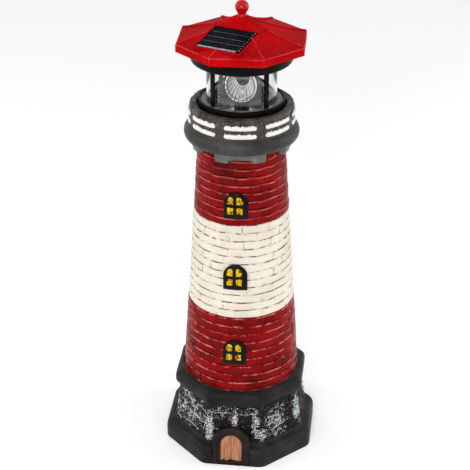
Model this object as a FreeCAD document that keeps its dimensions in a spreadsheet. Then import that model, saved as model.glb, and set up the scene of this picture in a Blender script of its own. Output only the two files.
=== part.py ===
"""Solar garden lighthouse: a cast tower in three bonded pieces and a lift-off lantern whose mirror turns.

Millimetres. +Z is up, the origin is at the middle of the footprint, and the door and windows face -Y.
The driving sizes are cells of the sheet "sizes". Each sub-part's label is the name of its file in parts/.
"""
import FreeCAD, Part
import math
import os

import Sketcher

from FreeCAD import Placement, Rotation, Vector

doc = FreeCAD.newDocument("garden_lighthouse")
sheet = doc.addObject("Spreadsheet::Sheet", "sizes")
UP = Vector(0, 0, 1)
HALF_FACET = 22.5  # half the angle of one side of an octagon
FLAT = math.cos(math.radians(HALF_FACET))  # an octagon's apothem over its corner radius
FRONT = -90.0  # angle of -Y, where the door is, from +X


# ---------------------------------------------------------------- sizes
class Size:
    """A length that knows both its value and the sheet formula that gives it."""

    def __init__(self, value, formula):
        self.value = float(value)
        self.formula = formula

    def __add__(self, other):
        return Size(self.value + number(other), f"({self.formula} + {formula(other)})")

    def __sub__(self, other):
        return Size(self.value - number(other), f"({self.formula} - {formula(other)})")

    def __rsub__(self, other):
        return Size(number(other) - self.value, f"({formula(other)} - {self.formula})")

    def __mul__(self, other):
        return Size(self.value * number(other), f"({self.formula} * {formula(other)})")

    def __truediv__(self, other):
        return Size(self.value / number(other), f"({self.formula} / {formula(other)})")

    def __neg__(self):
        return Size(-self.value, f"(-{self.formula})")

    __radd__ = __add__
    __rmul__ = __mul__


NOTHING = Size(0, "0")


def number(size):
    return size.value if isinstance(size, Size) else float(size)


def formula(size):
    return size.formula if isinstance(size, Size) else repr(float(size))


def root(size):
    """Square root of a size, as a size."""
    return Size(math.sqrt(size.value), f"sqrt({size.formula})")


rows = [0]


def cell(alias, value):
    """One driving size: a plain number in the sheet, with its alias."""
    rows[0] += 1
    sheet.set(f"A{rows[0]}", alias)
    sheet.set(f"B{rows[0]}", str(value))
    sheet.setAlias(f"B{rows[0]}", alias)
    return Size(value, f"sizes.{alias}")


# base casting: an eight-sided plinth, a rubble wall and a moulded rim
plinth_radius = cell("plinth_radius", 79.4)
plinth_height = cell("plinth_height", 19.5)
plinth_round = cell("plinth_round", 4.5)
corner_round = cell("corner_round", 12.0)
wall_foot_radius = cell("wall_foot_radius", 68.5)
wall_head_radius = cell("wall_head_radius", 63.0)
rim_foot = cell("rim_foot", 65.0)
rim_depth = cell("rim_depth", 12.0)
rim_radius = cell("rim_radius", 68.6)
rim_round = cell("rim_round", 3.0)
rim_flare = cell("rim_flare", 5.0)
base_cavity_radius = cell("base_cavity_radius", 62.0)
rubble_relief = cell("rubble_relief", 1.5)
rubble_span = cell("rubble_span", 50.0)

# doorway on the front side of the base
portal_width = cell("portal_width", 38.0)
portal_height = cell("portal_height", 41.0)
portal_rise = cell("portal_rise", 17.0)
portal_moulding = cell("portal_moulding", 4.2)
portal_step = cell("portal_step", 1.6)
portal_depth = cell("portal_depth", 14.0)
portal_lean = cell("portal_lean", 8.0)
door_width = cell("door_width", 21.0)
door_height = cell("door_height", 33.5)
door_rise = cell("door_rise", 9.0)
door_sill = cell("door_sill", 4.5)
door_recess = cell("door_recess", 4.0)
door_x = cell("door_x", -2.0)
plank_gap = cell("plank_gap", 0.9)

# tower shaft and its three windows
shaft_foot_radius = cell("shaft_foot_radius", 57.6)
shaft_head_radius = cell("shaft_head_radius", 40.6)
shaft_height = cell("shaft_height", 256.0)
shaft_sink = cell("shaft_sink", 3.0)
shaft_wall = cell("shaft_wall", 4.2)
bond_gap = cell("bond_gap", 0.1)
first_course = cell("first_course", 79.6)
cream_foot = cell("cream_foot", 158.7)
cream_head = cell("cream_head", 254.2)
top_course_head = cell("top_course_head", 318.2)
joint_depth = cell("joint_depth", 0.9)
joint_height = cell("joint_height", 1.8)
window_width = cell("window_width", 22.5)
window_height = cell("window_height", 25.5)
window_rise = cell("window_rise", 9.0)
window_relief = cell("window_relief", 1.4)
window_frame = cell("window_frame", 3.4)
window_bar = cell("window_bar", 2.2)
pane_depth = cell("pane_depth", 1.0)
low_sill = cell("low_sill", 109.5)
middle_sill = cell("middle_sill", 189.5)
top_sill = cell("top_sill", 262.0)

# gallery casting
gallery_turn = cell("gallery_turn", 5.0)
cornice_radius = cell("cornice_radius", 53.7)
cornice_height = cell("cornice_height", 13.0)
cornice_belly = cell("cornice_belly", 5.5)
cornice_foot_radius = cell("cornice_foot_radius", 50.2)
cornice_round = cell("cornice_round", 7.0)
shaft_socket = cell("shaft_socket", 3.0)
parapet_radius = cell("parapet_radius", 48.4)
parapet_height = cell("parapet_height", 21.0)
parapet_wall = cell("parapet_wall", 6.8)
parapet_edge = cell("parapet_edge", 1.2)
ledge_depth = cell("ledge_depth", 4.0)
corbel_width = cell("corbel_width", 12.5)
corbel_reach = cell("corbel_reach", 48.4)
corbel_depth = cell("corbel_depth", 10.5)
corbel_nose = cell("corbel_nose", 4.5)
lintel_reach = cell("lintel_reach", 46.8)
lintel_depth = cell("lintel_depth", 7.0)
lintel_span = cell("lintel_span", 27.0)
rail_span = cell("rail_span", 36.5)
rail_height = cell("rail_height", 4.4)
rail_gap = cell("rail_gap", 3.7)
rail_foot = cell("rail_foot", 2.7)
rail_relief = cell("rail_relief", 0.7)

# lantern: moulded cup that hangs in the gallery by its flange
head_turn = cell("head_turn", 1.7)
flange_stand = cell("flange_stand", 4.0)
flange_gap = cell("flange_gap", 1.6)
flange_lip = cell("flange_lip", 1.8)
flange_lip_height = cell("flange_lip_height", 1.6)
flange_round = cell("flange_round", 0.8)
cup_radius = cell("cup_radius", 35.2)
cup_gap = cell("cup_gap", 0.5)
cup_wall = cell("cup_wall", 2.2)
cup_depth = cell("cup_depth", 41.0)
well_depth = cell("well_depth", 12.6)
deck_thickness = cell("deck_thickness", 2.5)
floor_disc_thickness = cell("floor_disc_thickness", 0.5)
tube_radius = cell("tube_radius", 32.4)
tube_wall = cell("tube_wall", 1.6)
tube_groove = cell("tube_groove", 1.2)
fit_gap = cell("fit_gap", 0.1)
lantern_gap = cell("lantern_gap", 35.5)
post_width = cell("post_width", 4.8)
post_thickness = cell("post_thickness", 2.6)

# lantern: roof
bowl_radius = cell("bowl_radius", 46.7)
bowl_depth = cell("bowl_depth", 15.3)
bowl_wall = cell("bowl_wall", 2.4)
soffit_thickness = cell("soffit_thickness", 1.6)
soffit_lift = cell("soffit_lift", 1.8)
roof_radius = cell("roof_radius", 62.0)
fascia_height = cell("fascia_height", 7.4)
roof_rise = cell("roof_rise", 19.4)
roof_crown = cell("roof_crown", 5.0)
roof_curve = cell("roof_curve", 185.0)
roof_wall = cell("roof_wall", 2.2)
rib_width = cell("rib_width", 2.8)
rib_relief = cell("rib_relief", 1.2)
finial_radius = cell("finial_radius", 6.2)
finial_lift = cell("finial_lift", 9.2)
finial_neck = cell("finial_neck", 4.4)
finial_peg = cell("finial_peg", 2.0)
roof_boss_radius = cell("roof_boss_radius", 3.0)
roof_screw_margin = cell("roof_screw_margin", 3.9)
panel_length = cell("panel_length", 43.0)
panel_depth = cell("panel_depth", 38.5)
panel_thickness = cell("panel_thickness", 2.0)
panel_slope = cell("panel_slope", 10.5)
panel_reach = cell("panel_reach", 28.4)
panel_lift = cell("panel_lift", 6.9)
panel_ramp = cell("panel_ramp", 50.0)
tray_wall = cell("tray_wall", 1.8)
board_length = cell("board_length", 30.0)
board_depth = cell("board_depth", 18.0)
board_thickness = cell("board_thickness", 1.6)
board_stand = cell("board_stand", 3.0)
board_boss_radius = cell("board_boss_radius", 2.0)
board_boss_reach = cell("board_boss_reach", 11.0)
board_pin_radius = cell("board_pin_radius", 0.8)

# turning mirror and its drive
gear_module = cell("gear_module", 0.8)
gear_teeth = cell("gear_teeth", 36)
pinion_teeth = cell("pinion_teeth", 12)
gear_width = cell("gear_width", 4.0)
gear_backlash = cell("gear_backlash", 0.2)
gear_hub_radius = cell("gear_hub_radius", 7.0)
chassis_thickness = cell("chassis_thickness", 2.5)
chassis_radius = cell("chassis_radius", 27.5)
chassis_drop = cell("chassis_drop", 9.0)
pillar_radius = cell("pillar_radius", 2.8)
pillar_reach = cell("pillar_reach", 23.5)
end_float = cell("end_float", 0.3)
washer_thickness = cell("washer_thickness", 0.8)
stem_radius = cell("stem_radius", 6.4)
spigot_radius = cell("spigot_radius", 4.6)
stem_bore = cell("stem_bore", 2.6)
running_gap = cell("running_gap", 0.05)
mirror_lift = cell("mirror_lift", 11.0)
mirror_radius = cell("mirror_radius", 13.8)
mirror_back_radius = cell("mirror_back_radius", 6.6)
mirror_curve = cell("mirror_curve", 26.0)
mirror_wall = cell("mirror_wall", 0.9)
mirror_reach = cell("mirror_reach", 8.0)
mirror_rim = cell("mirror_rim", 1.6)
saddle_width = cell("saddle_width", 9.0)
saddle_height = cell("saddle_height", 2.6)
lamp_radius = cell("lamp_radius", 2.4)
lamp_height = cell("lamp_height", 8.0)
lamp_post_radius = cell("lamp_post_radius", 2.1)
motor_radius = cell("motor_radius", 8.0)
motor_length = cell("motor_length", 12.0)
motor_nose_radius = cell("motor_nose_radius", 3.0)
motor_shaft_radius = cell("motor_shaft_radius", 1.0)

# battery, cover, switch and screws
battery_radius = cell("battery_radius", 7.1)
battery_length = cell("battery_length", 49.5)
battery_nub_radius = cell("battery_nub_radius", 2.7)
battery_nub = cell("battery_nub", 1.0)
battery_y = cell("battery_y", 6.5)
contact_thickness = cell("contact_thickness", 0.5)
contact_width = cell("contact_width", 8.0)
contact_height = cell("contact_height", 11.0)
cradle_wall = cell("cradle_wall", 1.4)
cover_thickness = cell("cover_thickness", 3.4)
hatch_thickness = cell("hatch_thickness", 1.6)
hatch_length = cell("hatch_length", 53.0)
hatch_depth = cell("hatch_depth", 16.5)
hatch_ledge = cell("hatch_ledge", 1.2)
boss_radius = cell("boss_radius", 2.6)
boss_reach = cell("boss_reach", 30.0)
switch_x = cell("switch_x", -17.0)
switch_y = cell("switch_y", -8.5)
switch_length = cell("switch_length", 9.0)
switch_depth = cell("switch_depth", 5.0)
switch_height = cell("switch_height", 4.5)
switch_travel = cell("switch_travel", 2.5)
knob_length = cell("knob_length", 2.4)
knob_depth = cell("knob_depth", 2.0)
slider_gap = cell("slider_gap", 0.3)
screw_radius = cell("screw_radius", 1.2)
screw_length = cell("screw_length", 7.0)
screw_head_radius = cell("screw_head_radius", 2.3)
screw_head_height = cell("screw_head_height", 1.4)
screw_slot = cell("screw_slot", 0.7)

doc.recompute()

# ---------------------------------------------------------------- heights and radii worked out from the sizes
rim_head = rim_foot + rim_depth
shaft_foot = rim_head - shaft_sink
shaft_head = shaft_foot + shaft_height
cornice_foot = shaft_head - shaft_socket
cornice_head = cornice_foot + cornice_height
parapet_head = cornice_head + parapet_height
ledge = parapet_head - ledge_depth
parapet_bore = parapet_radius - parapet_wall
gallery_bore = cup_radius + cup_gap
flange_head = parapet_head + flange_stand
flange_radius = parapet_bore - flange_gap
annulus = flange_head - flange_lip_height
cup_foot = ledge - cup_depth
cup_inner = cup_radius - cup_wall
well_radius = tube_radius + fit_gap
deck_head = flange_head - well_depth
deck_foot = deck_head - deck_thickness
bowl_foot = flange_head + lantern_gap
bowl_floor = bowl_foot + bowl_wall
soffit_foot = bowl_foot + bowl_depth
soffit_head = soffit_foot + soffit_thickness
fascia_foot = soffit_foot - soffit_lift
rim_edge = fascia_foot + fascia_height
crown_head = rim_edge + roof_rise
ball_height = crown_head + finial_lift
roof_flat = roof_radius * FLAT
board_foot = bowl_floor + board_stand
post_reach = well_radius + post_thickness / 2
roof_screw_reach = bowl_radius + roof_screw_margin
chassis_head = deck_foot - chassis_drop
chassis_foot = chassis_head - chassis_thickness
gear_foot = chassis_head + (chassis_drop - gear_width) / 2
gear_pitch_radius = gear_module * gear_teeth / 2
pinion_pitch_radius = gear_module * pinion_teeth / 2
motor_y = -(gear_pitch_radius + pinion_pitch_radius)
motor_foot = chassis_foot - motor_length
stem_foot = deck_head + washer_thickness + end_float
mirror_height = deck_head + mirror_lift + mirror_radius
saddle_foot = mirror_height - mirror_radius - mirror_wall
lamp_foot = saddle_foot + mirror_wall
cover_head = cup_foot + cover_thickness
battery_height = cover_head + battery_radius + fit_gap
hatch_head = cup_foot + hatch_thickness
subparts = []


# ---------------------------------------------------------------- drawing helpers
def bind(thing, prop, size):
    """Sets a property to a size and keeps it tied to the sheet."""
    if isinstance(size, Size):
        thing.setExpression(prop, size.formula)
    else:
        setattr(thing, prop, size)


def place(thing, x=0.0, y=0.0, z=0.0, turn=0.0):
    """Puts a primitive at sizes x, y, z, turned about Z."""
    thing.Placement = Placement(Vector(number(x), number(y), number(z)), Rotation(UP, number(turn)))
    for axis, size in (("x", x), ("y", y), ("z", z)):
        if isinstance(size, Size):
            thing.setExpression(f"Placement.Base.{axis}", size.formula)
    return thing


def cylinder(name, radius, height, x=0.0, y=0.0, z=0.0):
    made = doc.addObject("Part::Cylinder", name)
    bind(made, "Radius", radius)
    bind(made, "Height", height)
    return place(made, x, y, z)


def cone(name, foot_radius, head_radius, height, z=0.0):
    made = doc.addObject("Part::Cone", name)
    bind(made, "Radius1", foot_radius)
    bind(made, "Radius2", head_radius)
    bind(made, "Height", height)
    return place(made, z=z)


def block(name, length, depth, height, x=0.0, y=0.0, z=0.0):
    """A box centred on x and y, standing on z."""
    made = doc.addObject("Part::Box", name)
    bind(made, "Length", length)
    bind(made, "Width", depth)
    bind(made, "Height", height)
    return place(made, x - length / 2, y - depth / 2, z)


def octagon(name, radius, height, z):
    """An upright eight-sided prism with one flat side facing -Y."""
    made = doc.addObject("Part::Prism", name)
    made.Polygon = 8
    bind(made, "Circumradius", radius)
    bind(made, "Height", height)
    return place(made, z=z, turn=HALF_FACET)


def fuse(name, *shapes):
    made = doc.addObject("Part::MultiFuse", name)
    made.Shapes = list(shapes)
    made.Refine = True
    return made


def common(name, *shapes):
    made = doc.addObject("Part::MultiCommon", name)
    made.Shapes = list(shapes)
    return made


def cut(name, base, *tools):
    """base less one or more tools."""
    made = doc.addObject("Part::Cut", name)
    made.Base = base
    made.Tool = tools[0] if len(tools) == 1 else fuse(name + "_tools", *tools)
    return made


def subpart(label, thing):
    """Names a finished piece, which is written to parts/label.step."""
    thing.Label = label
    subparts.append(thing)
    return thing


def origin_plane(body, role):
    return next(f for f in body.Origin.OriginFeatures if f.Role == role)


def outline(body, name, points, role="XZ_Plane", offset=None):
    """A closed sketch through points (across, up), each held to the sheet. A third value bows the line that
    leaves that point into an arc of that radius: hollow side up if it is positive, down if negative."""
    sketch = body.newObject("Sketcher::SketchObject", name)
    sketch.AttachmentSupport = [(origin_plane(body, role), "")]
    sketch.MapMode = "FlatFace"
    if offset is not None:
        sketch.AttachmentOffset = offset
    corners = [Vector(number(p[0]), number(p[1]), 0) for p in points]
    count = len(points)
    for i, point in enumerate(points):
        start, end = corners[i], corners[(i + 1) % count]
        if len(point) == 3:
            sketch.addGeometry(bowed(start, end, number(point[2])), False)
        else:
            sketch.addGeometry(Part.LineSegment(start, end), False)
    heads = [start_vertex(sketch, i, corners[i]) for i in range(count)]
    for i in range(count):
        here, after = i, (i + 1) % count
        sketch.addConstraint(Sketcher.Constraint("Coincident", here, 3 - heads[here], after, heads[after]))
    for i, point in enumerate(points):
        hold(sketch, i, heads[i], "DistanceX", point[0], -2)
        hold(sketch, i, heads[i], "DistanceY", point[1], -1)
        if len(point) == 3:
            index = sketch.addConstraint(Sketcher.Constraint("Radius", i, abs(number(point[2]))))
            bow = point[2] if number(point[2]) > 0 else -point[2]
            sketch.setExpression(f"Constraints[{index}]", formula(bow))
    return sketch


def bowed(start, end, radius):
    """Arc from start to end whose middle dips below the chord if radius is positive."""
    chord = end - start
    middle = (start + end) * 0.5
    across = Vector(-chord.y, chord.x, 0).normalize()
    if across.y < 0:
        across = across * -1
    half = chord.Length / 2
    sagitta = abs(radius) - math.sqrt(radius * radius - half * half)
    side = -1 if radius > 0 else 1
    return Part.Arc(start, middle + across * (side * sagitta), end)


def start_vertex(sketch, index, corner):
    """1 or 2: which end of a sketch edge lies at the corner it was drawn from."""
    return 1 if (sketch.getPoint(index, 1) - corner).Length < 1e-6 else 2


def hold(sketch, index, vertex, kind, size, axis):
    """Ties one coordinate of a sketch vertex to the sheet, or to the sketch's own axis where it is zero."""
    if number(size) == 0:
        sketch.addConstraint(Sketcher.Constraint("PointOnObject", index, vertex, axis))
        return
    made = sketch.addConstraint(Sketcher.Constraint(kind, index, vertex, number(size)))
    if isinstance(size, Size):
        sketch.setExpression(f"Constraints[{made}]", size.formula)


def lathe(name, points, turn=0.0):
    """A body turned about Z from an outline of (radius, height) points."""
    body = doc.addObject("PartDesign::Body", name)
    revolve(body, name + "_turning", outline(body, name + "_profile", points))
    return place(body, turn=turn)


def revolve(body, name, sketch, angle=360.0, symmetric=False):
    made = body.newObject("PartDesign::Revolution", name)
    made.Profile = sketch
    made.ReferenceAxis = (sketch, ["V_Axis"])
    bind(made, "Angle", angle)
    made.Midplane = symmetric
    return made


def pad(body, name, sketch, length, symmetric=False, reverse=False):
    made = body.newObject("PartDesign::Pad", name)
    made.Profile = sketch
    bind(made, "Length", length)
    made.Midplane = symmetric
    made.Reversed = reverse
    return made


def around(body, name, features, count):
    """Repeats features evenly about the body's own Z axis."""
    made = body.newObject("PartDesign::PolarPattern", name)
    made.Originals = features
    made.Axis = (next(f for f in body.Origin.OriginFeatures if f.Role == "Z_Axis"), [""])
    made.Angle = 360
    made.Occurrences = count
    body.Tip = made
    return made


def polar(radius, angle):
    """(x, y) at a radius and an angle from +X, as sizes."""
    turn = math.radians(angle)
    return radius * math.cos(turn), radius * math.sin(turn)


def edges_where(thing, test):
    """Names of the edges of a finished feature that pass a test."""
    doc.recompute()
    return [f"Edge{i + 1}" for i, edge in enumerate(thing.Shape.Edges) if test(edge)]


def fillet(body, name, base, radius, test):
    names = edges_where(base, test)
    made = body.newObject("PartDesign::Fillet", name)
    made.Base = (base, names)
    bind(made, "Radius", radius)
    return made


def upright(edge):
    ends = [v.Point for v in edge.Vertexes]
    return len(ends) == 2 and abs(ends[0].x - ends[1].x) + abs(ends[0].y - ends[1].y) < 1e-6


def level_at(z):
    """A test for edges that lie flat at one height."""
    return lambda edge: all(abs(v.Point.z - number(z)) < 1e-6 for v in edge.Vertexes)


def pocket(body, name, sketch, length=None):
    made = body.newObject("PartDesign::Pocket", name)
    made.Profile = sketch
    if length is None:
        made.Type = "ThroughAll"
        made.Midplane = True
    else:
        bind(made, "Length", length)
    return made


def raised(body, name, points, z):
    """A sketch on a level z above the footprint."""
    sketch = outline(body, name, points, "XY_Plane")
    return shift(sketch, z)


def shift(sketch, distance):
    """Moves a sketch along its own normal by a size."""
    sketch.AttachmentOffset = Placement(Vector(0, 0, number(distance)), Rotation())
    if isinstance(distance, Size):
        sketch.setExpression("AttachmentOffset.Base.z", distance.formula)
    return sketch


def octagon_corners(radius):
    """Corners of an octagon with one flat side facing -Y."""
    return [polar(radius, HALF_FACET + 45 * i) for i in range(8)]


def arch_points(width, foot, head, rise, x=0.0):
    """An opening with upright sides and a bowed head, as an outline."""
    bow = width * width / (rise * 8) + rise / 2
    left, right, spring = x - width / 2, x + width / 2, head - rise
    return [(left, foot), (right, foot), (right, spring, -bow), (left, spring)]


def leaning_arch(name, foot, points, depth, both=True):
    """A block with an arched outline, depth deep in front of the doorway's leaning plane, or to both sides."""
    body = doc.addObject("PartDesign::Body", name)
    pad(body, name + "_pad", outline(body, name + "_outline", points), depth * 2 if both else depth,
        symmetric=both)
    place(body, y=-foot)
    body.Placement = Placement(body.Placement.Base, Rotation(Vector(-1, 0, 0), number(portal_lean)))
    body.setExpression("Placement.Rotation.Angle", formula(portal_lean))
    return body


# ---------------------------------------------------------------- tower castings
# Outlines of the rubble's main stones on one wall facet, as shares of the facet's span and height.
RUBBLE = (((-0.42, 0.05), (-0.20, 0.08), (-0.17, 0.44), (-0.41, 0.48)),
          ((-0.12, 0.10), (0.17, 0.04), (0.14, 0.40), (-0.09, 0.46)),
          ((0.24, 0.07), (0.42, 0.03), (0.41, 0.50), (0.21, 0.43)),
          ((-0.39, 0.58), (-0.05, 0.54), (-0.08, 0.92), (-0.36, 0.95)),
          ((0.04, 0.52), (0.38, 0.60), (0.36, 0.93), (0.07, 0.96)))


def wall_loft(name, grow):
    """The base's leaning eight-sided wall, grown outwards, up to its flare under the rim."""
    body = doc.addObject("PartDesign::Body", name)
    wall = body.newObject("PartDesign::AdditiveLoft", name + "_loft")
    wall.Profile = raised(body, name + "_foot", octagon_corners(wall_foot_radius + grow),
                          plinth_height - plinth_round)
    wall.Sections = [raised(body, name + "_head", octagon_corners(wall_head_radius + grow), rim_foot - rim_flare)]
    wall.Ruled = True
    return body


def rubble():
    """The wall's main stones, standing a little proud of all eight facets."""
    body = doc.addObject("PartDesign::Body", "rubble_bars")
    foot, height = plinth_height, rim_foot - rim_flare - plinth_height
    bars = []
    for i, stone in enumerate(RUBBLE, 1):
        points = [(rubble_span * across, foot + height * up) for across, up in stone]
        bars.append(pad(body, f"stone_{i}", outline(body, f"stone_{i}_outline", points), wall_foot_radius))
    around(body, "rubble_ring", bars, 8)
    return common("rubble", wall_loft("rubble_face", rubble_relief), body)


def doorway():
    """The leaning portal as one block, and what clears its front, its step, its recess and the plank seam."""
    face = plinth_radius * FLAT
    whole = arch_points(portal_width, -plinth_round, portal_height, portal_rise, door_x)
    portal = leaning_arch("portal_block", face, whole, portal_depth)
    ground = block("portal_ground", portal_width * 2, plinth_radius * 4, plinth_height, z=-plinth_height)
    front = leaning_arch("portal_front", face, whole, portal_depth, both=False)
    step = arch_points(portal_width - portal_moulding * 2, door_sill / 2, portal_height - portal_moulding,
                       portal_rise - portal_moulding / 2, door_x)
    leaf = arch_points(door_width, door_sill, door_height, door_rise, door_x)
    seam = [(door_x - plank_gap / 2, door_sill), (door_x + plank_gap / 2, door_sill),
            (door_x + plank_gap / 2, door_height - door_rise / 2),
            (door_x - plank_gap / 2, door_height - door_rise / 2)]
    return cut("portal", portal, ground), [
        front,
        leaning_arch("portal_step", face, step, portal_step),
        leaning_arch("door_recess", face, leaf, door_recess),
        leaning_arch("plank_seam", face, seam, door_recess + plank_gap)]


def base_casting():
    """Octagonal foot with the doorway; hollow and open underneath, with a seat for the shaft on top."""
    body = doc.addObject("PartDesign::Body", "base_foot")
    foot = pad(body, "plinth", raised(body, "plinth_outline", octagon_corners(plinth_radius), 0.0), plinth_height)
    foot = fillet(body, "plinth_corners", foot, corner_round, upright)
    fillet(body, "plinth_edge", foot, plinth_round, level_at(plinth_height))
    rim = doc.addObject("PartDesign::Body", "base_rim")
    flare = rim.newObject("PartDesign::AdditiveLoft", "rim_flare")
    flare.Profile = raised(rim, "flare_foot", octagon_corners(wall_head_radius), rim_foot - rim_flare)
    flare.Sections = [raised(rim, "flare_head", octagon_corners(rim_radius), rim_foot)]
    flare.Ruled = True
    pad(rim, "rim", raised(rim, "rim_outline", octagon_corners(rim_radius), rim_foot), rim_depth)
    fillet(rim, "rim_edge", rim.Tip, rim_round, level_at(rim_head))
    portal, recesses = doorway()
    outside = fuse("base_outside", body, wall_loft("rubble_wall", 0.0), rim, rubble(), portal)
    bore = shaft_foot_radius - shaft_wall
    seat = shaft_foot_radius + bond_gap
    hollow = lathe("base_hollow", [(0.0, -plinth_round), (base_cavity_radius, -plinth_round),
                                   (base_cavity_radius, 0.0), (bore, shaft_foot), (seat, shaft_foot),
                                   (seat, rim_head + rim_round), (0.0, rim_head + rim_round)])
    subpart("base_casting", cut("base_casting", outside, hollow, *recesses))


def shaft_radius(z):
    """Outside radius of the shaft at a height."""
    return shaft_foot_radius - (shaft_foot_radius - shaft_head_radius) * (z - shaft_foot) / shaft_height


LOWER_COURSES, CREAM_COURSES, UPPER_COURSES = 9, 12, 8


def shaft_cone(name, extra):
    """The shaft's outer cone, grown or shrunk by extra."""
    return cone(name, shaft_foot_radius + extra, shaft_head_radius + extra, shaft_height, shaft_foot)


def arched_block(name, width, foot, head, rise, depth):
    """An arched block that runs forward from the tower's axis."""
    body = doc.addObject("PartDesign::Body", name)
    pad(body, name + "_pad", outline(body, name + "_outline", arch_points(width, foot, head, rise)), depth)
    return body


def window(name, sill):
    """One window: an arched surround standing off the shaft, and the four panes sunk in it."""
    head = sill + window_height
    surround = common(name + "_surround", shaft_cone(name + "_face", window_relief),
                      arched_block(name + "_block", window_width, sill, head, window_rise, shaft_foot_radius * 2))
    glass_width = window_width - window_frame * 2
    glass_head = head - window_frame
    glass = arched_block(name + "_glass", glass_width, sill + window_frame, glass_head,
                         window_rise - window_frame / 2, shaft_foot_radius * 2)
    mullion = block(name + "_mullion", window_bar, shaft_foot_radius * 4, window_height, z=sill)
    middle = (sill + head) / 2
    transom = block(name + "_transom", window_width, shaft_foot_radius * 4, window_bar, z=middle - window_bar / 2)
    panes = cut(name + "_panes", glass, mullion, transom, shaft_cone(name + "_floor", window_relief - pane_depth))
    return surround, panes


def bed_joints():
    """V-shaped grooves round the shaft between its brick courses, one count of courses to each colour."""
    joints = []
    for foot, head, courses in ((first_course, cream_foot, LOWER_COURSES), (cream_foot, cream_head, CREAM_COURSES),
                                (cream_head, top_course_head, UPPER_COURSES)):
        for i in range(courses):
            z = foot + (head - foot) * (i / courses)
            deep, wide = shaft_radius(z) - joint_depth, shaft_radius(z) + joint_depth
            joints.append(lathe(f"bed_joint_{len(joints) + 1}", [(deep, z), (wide, z - joint_height),
                                                                 (wide, z + joint_height)]))
    return joints


def shaft_casting():
    """Tapering tube that stands in the base's seat, with three windows on its front."""
    surrounds, panes = [], []
    for name, sill in (("low", low_sill), ("middle", middle_sill), ("top", top_sill)):
        surround, glass = window(name + "_window", sill)
        surrounds.append(surround)
        panes.append(glass)
    bricks = cut("shaft_bricks", shaft_cone("shaft_cone", 0.0), *bed_joints())
    outside = fuse("shaft_outside", bricks, *surrounds)
    bore = shaft_cone("shaft_bore", -shaft_wall)
    subpart("shaft_casting", cut("shaft_casting", outside, bore, *panes))


def rail_bars():
    """Two white bars on each of the parapet's eight sides."""
    body = doc.addObject("PartDesign::Body", "rail_bars")
    inner, outer = parapet_radius - parapet_edge, parapet_radius + rail_relief
    low = cornice_head + rail_foot
    bars = []
    for name, foot in (("lower_bar", low), ("upper_bar", low + rail_height + rail_gap)):
        head = foot + rail_height
        profile = outline(body, name + "_profile", [(inner, foot), (outer, foot), (outer, head), (inner, head)])
        bars.append(revolve(body, name, profile, rail_span, symmetric=True))
    around(body, "rail_ring", bars, 8)
    return place(body, turn=gallery_turn)


def brackets(name, reach, depth, nose, width, count, turn):
    """Blocks under the cornice that reach out from the shaft."""
    body = doc.addObject("PartDesign::Body", name)
    inner = cup_inner + shaft_wall
    profile = outline(body, name + "_profile", [
        (inner, cornice_foot - depth), (reach - nose, cornice_foot - depth),
        (reach, cornice_foot - depth + nose), (reach, cornice_foot), (inner, cornice_foot)])
    arm = pad(body, name + "_arm", profile, width, symmetric=True)
    around(body, name + "_ring", [arm], count)
    return place(body, turn=turn)


def gallery_casting():
    """Cornice and parapet in one ring, socketed over the shaft's head, with the lantern's ledge inside."""
    socket_radius = shaft_radius(cornice_foot) + bond_gap
    ring = lathe("gallery_ring", [
        (socket_radius, cornice_foot), (cornice_foot_radius, cornice_foot, -cornice_round),
        (cornice_radius, cornice_foot + cornice_belly, -cornice_round * 2),
        (parapet_radius + parapet_edge, cornice_head), (parapet_radius, cornice_head),
        (parapet_radius, parapet_head - parapet_edge), (parapet_radius - parapet_edge, parapet_head),
        (parapet_bore + parapet_edge / 2, parapet_head), (parapet_bore, parapet_head - parapet_edge / 2),
        (parapet_bore, ledge), (gallery_bore, ledge), (gallery_bore, shaft_head), (socket_radius, shaft_head)])
    corbels = brackets("corbels", corbel_reach, corbel_depth, corbel_nose, corbel_width, 8,
                       gallery_turn + HALF_FACET)
    lintels = brackets("lintels", lintel_reach, lintel_depth, corbel_nose / 2, lintel_span, 4, gallery_turn)
    whole = fuse("gallery_whole", ring, corbels, lintels, rail_bars())
    subpart("gallery_casting", cut("gallery_casting", whole, shaft_cone("shaft_clearance", bond_gap)))


# ---------------------------------------------------------------- lantern body
def spread(name, radius, height, reach, z, angles):
    """Upright round bars at one radius and several angles."""
    bars = []
    for i, angle in enumerate(angles):
        x, y = polar(reach, angle)
        bars.append(cylinder(f"{name}_{i + 1}", radius, height, x, y, z))
    return bars


BOSS_ANGLES = (90, 210, 330)
PILLAR_ANGLES = (90, 210, 330)
POST_ANGLES = (45, 135, 225, 315)
ROOF_SCREW_ANGLES = (0, 90, 180, 315)


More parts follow.
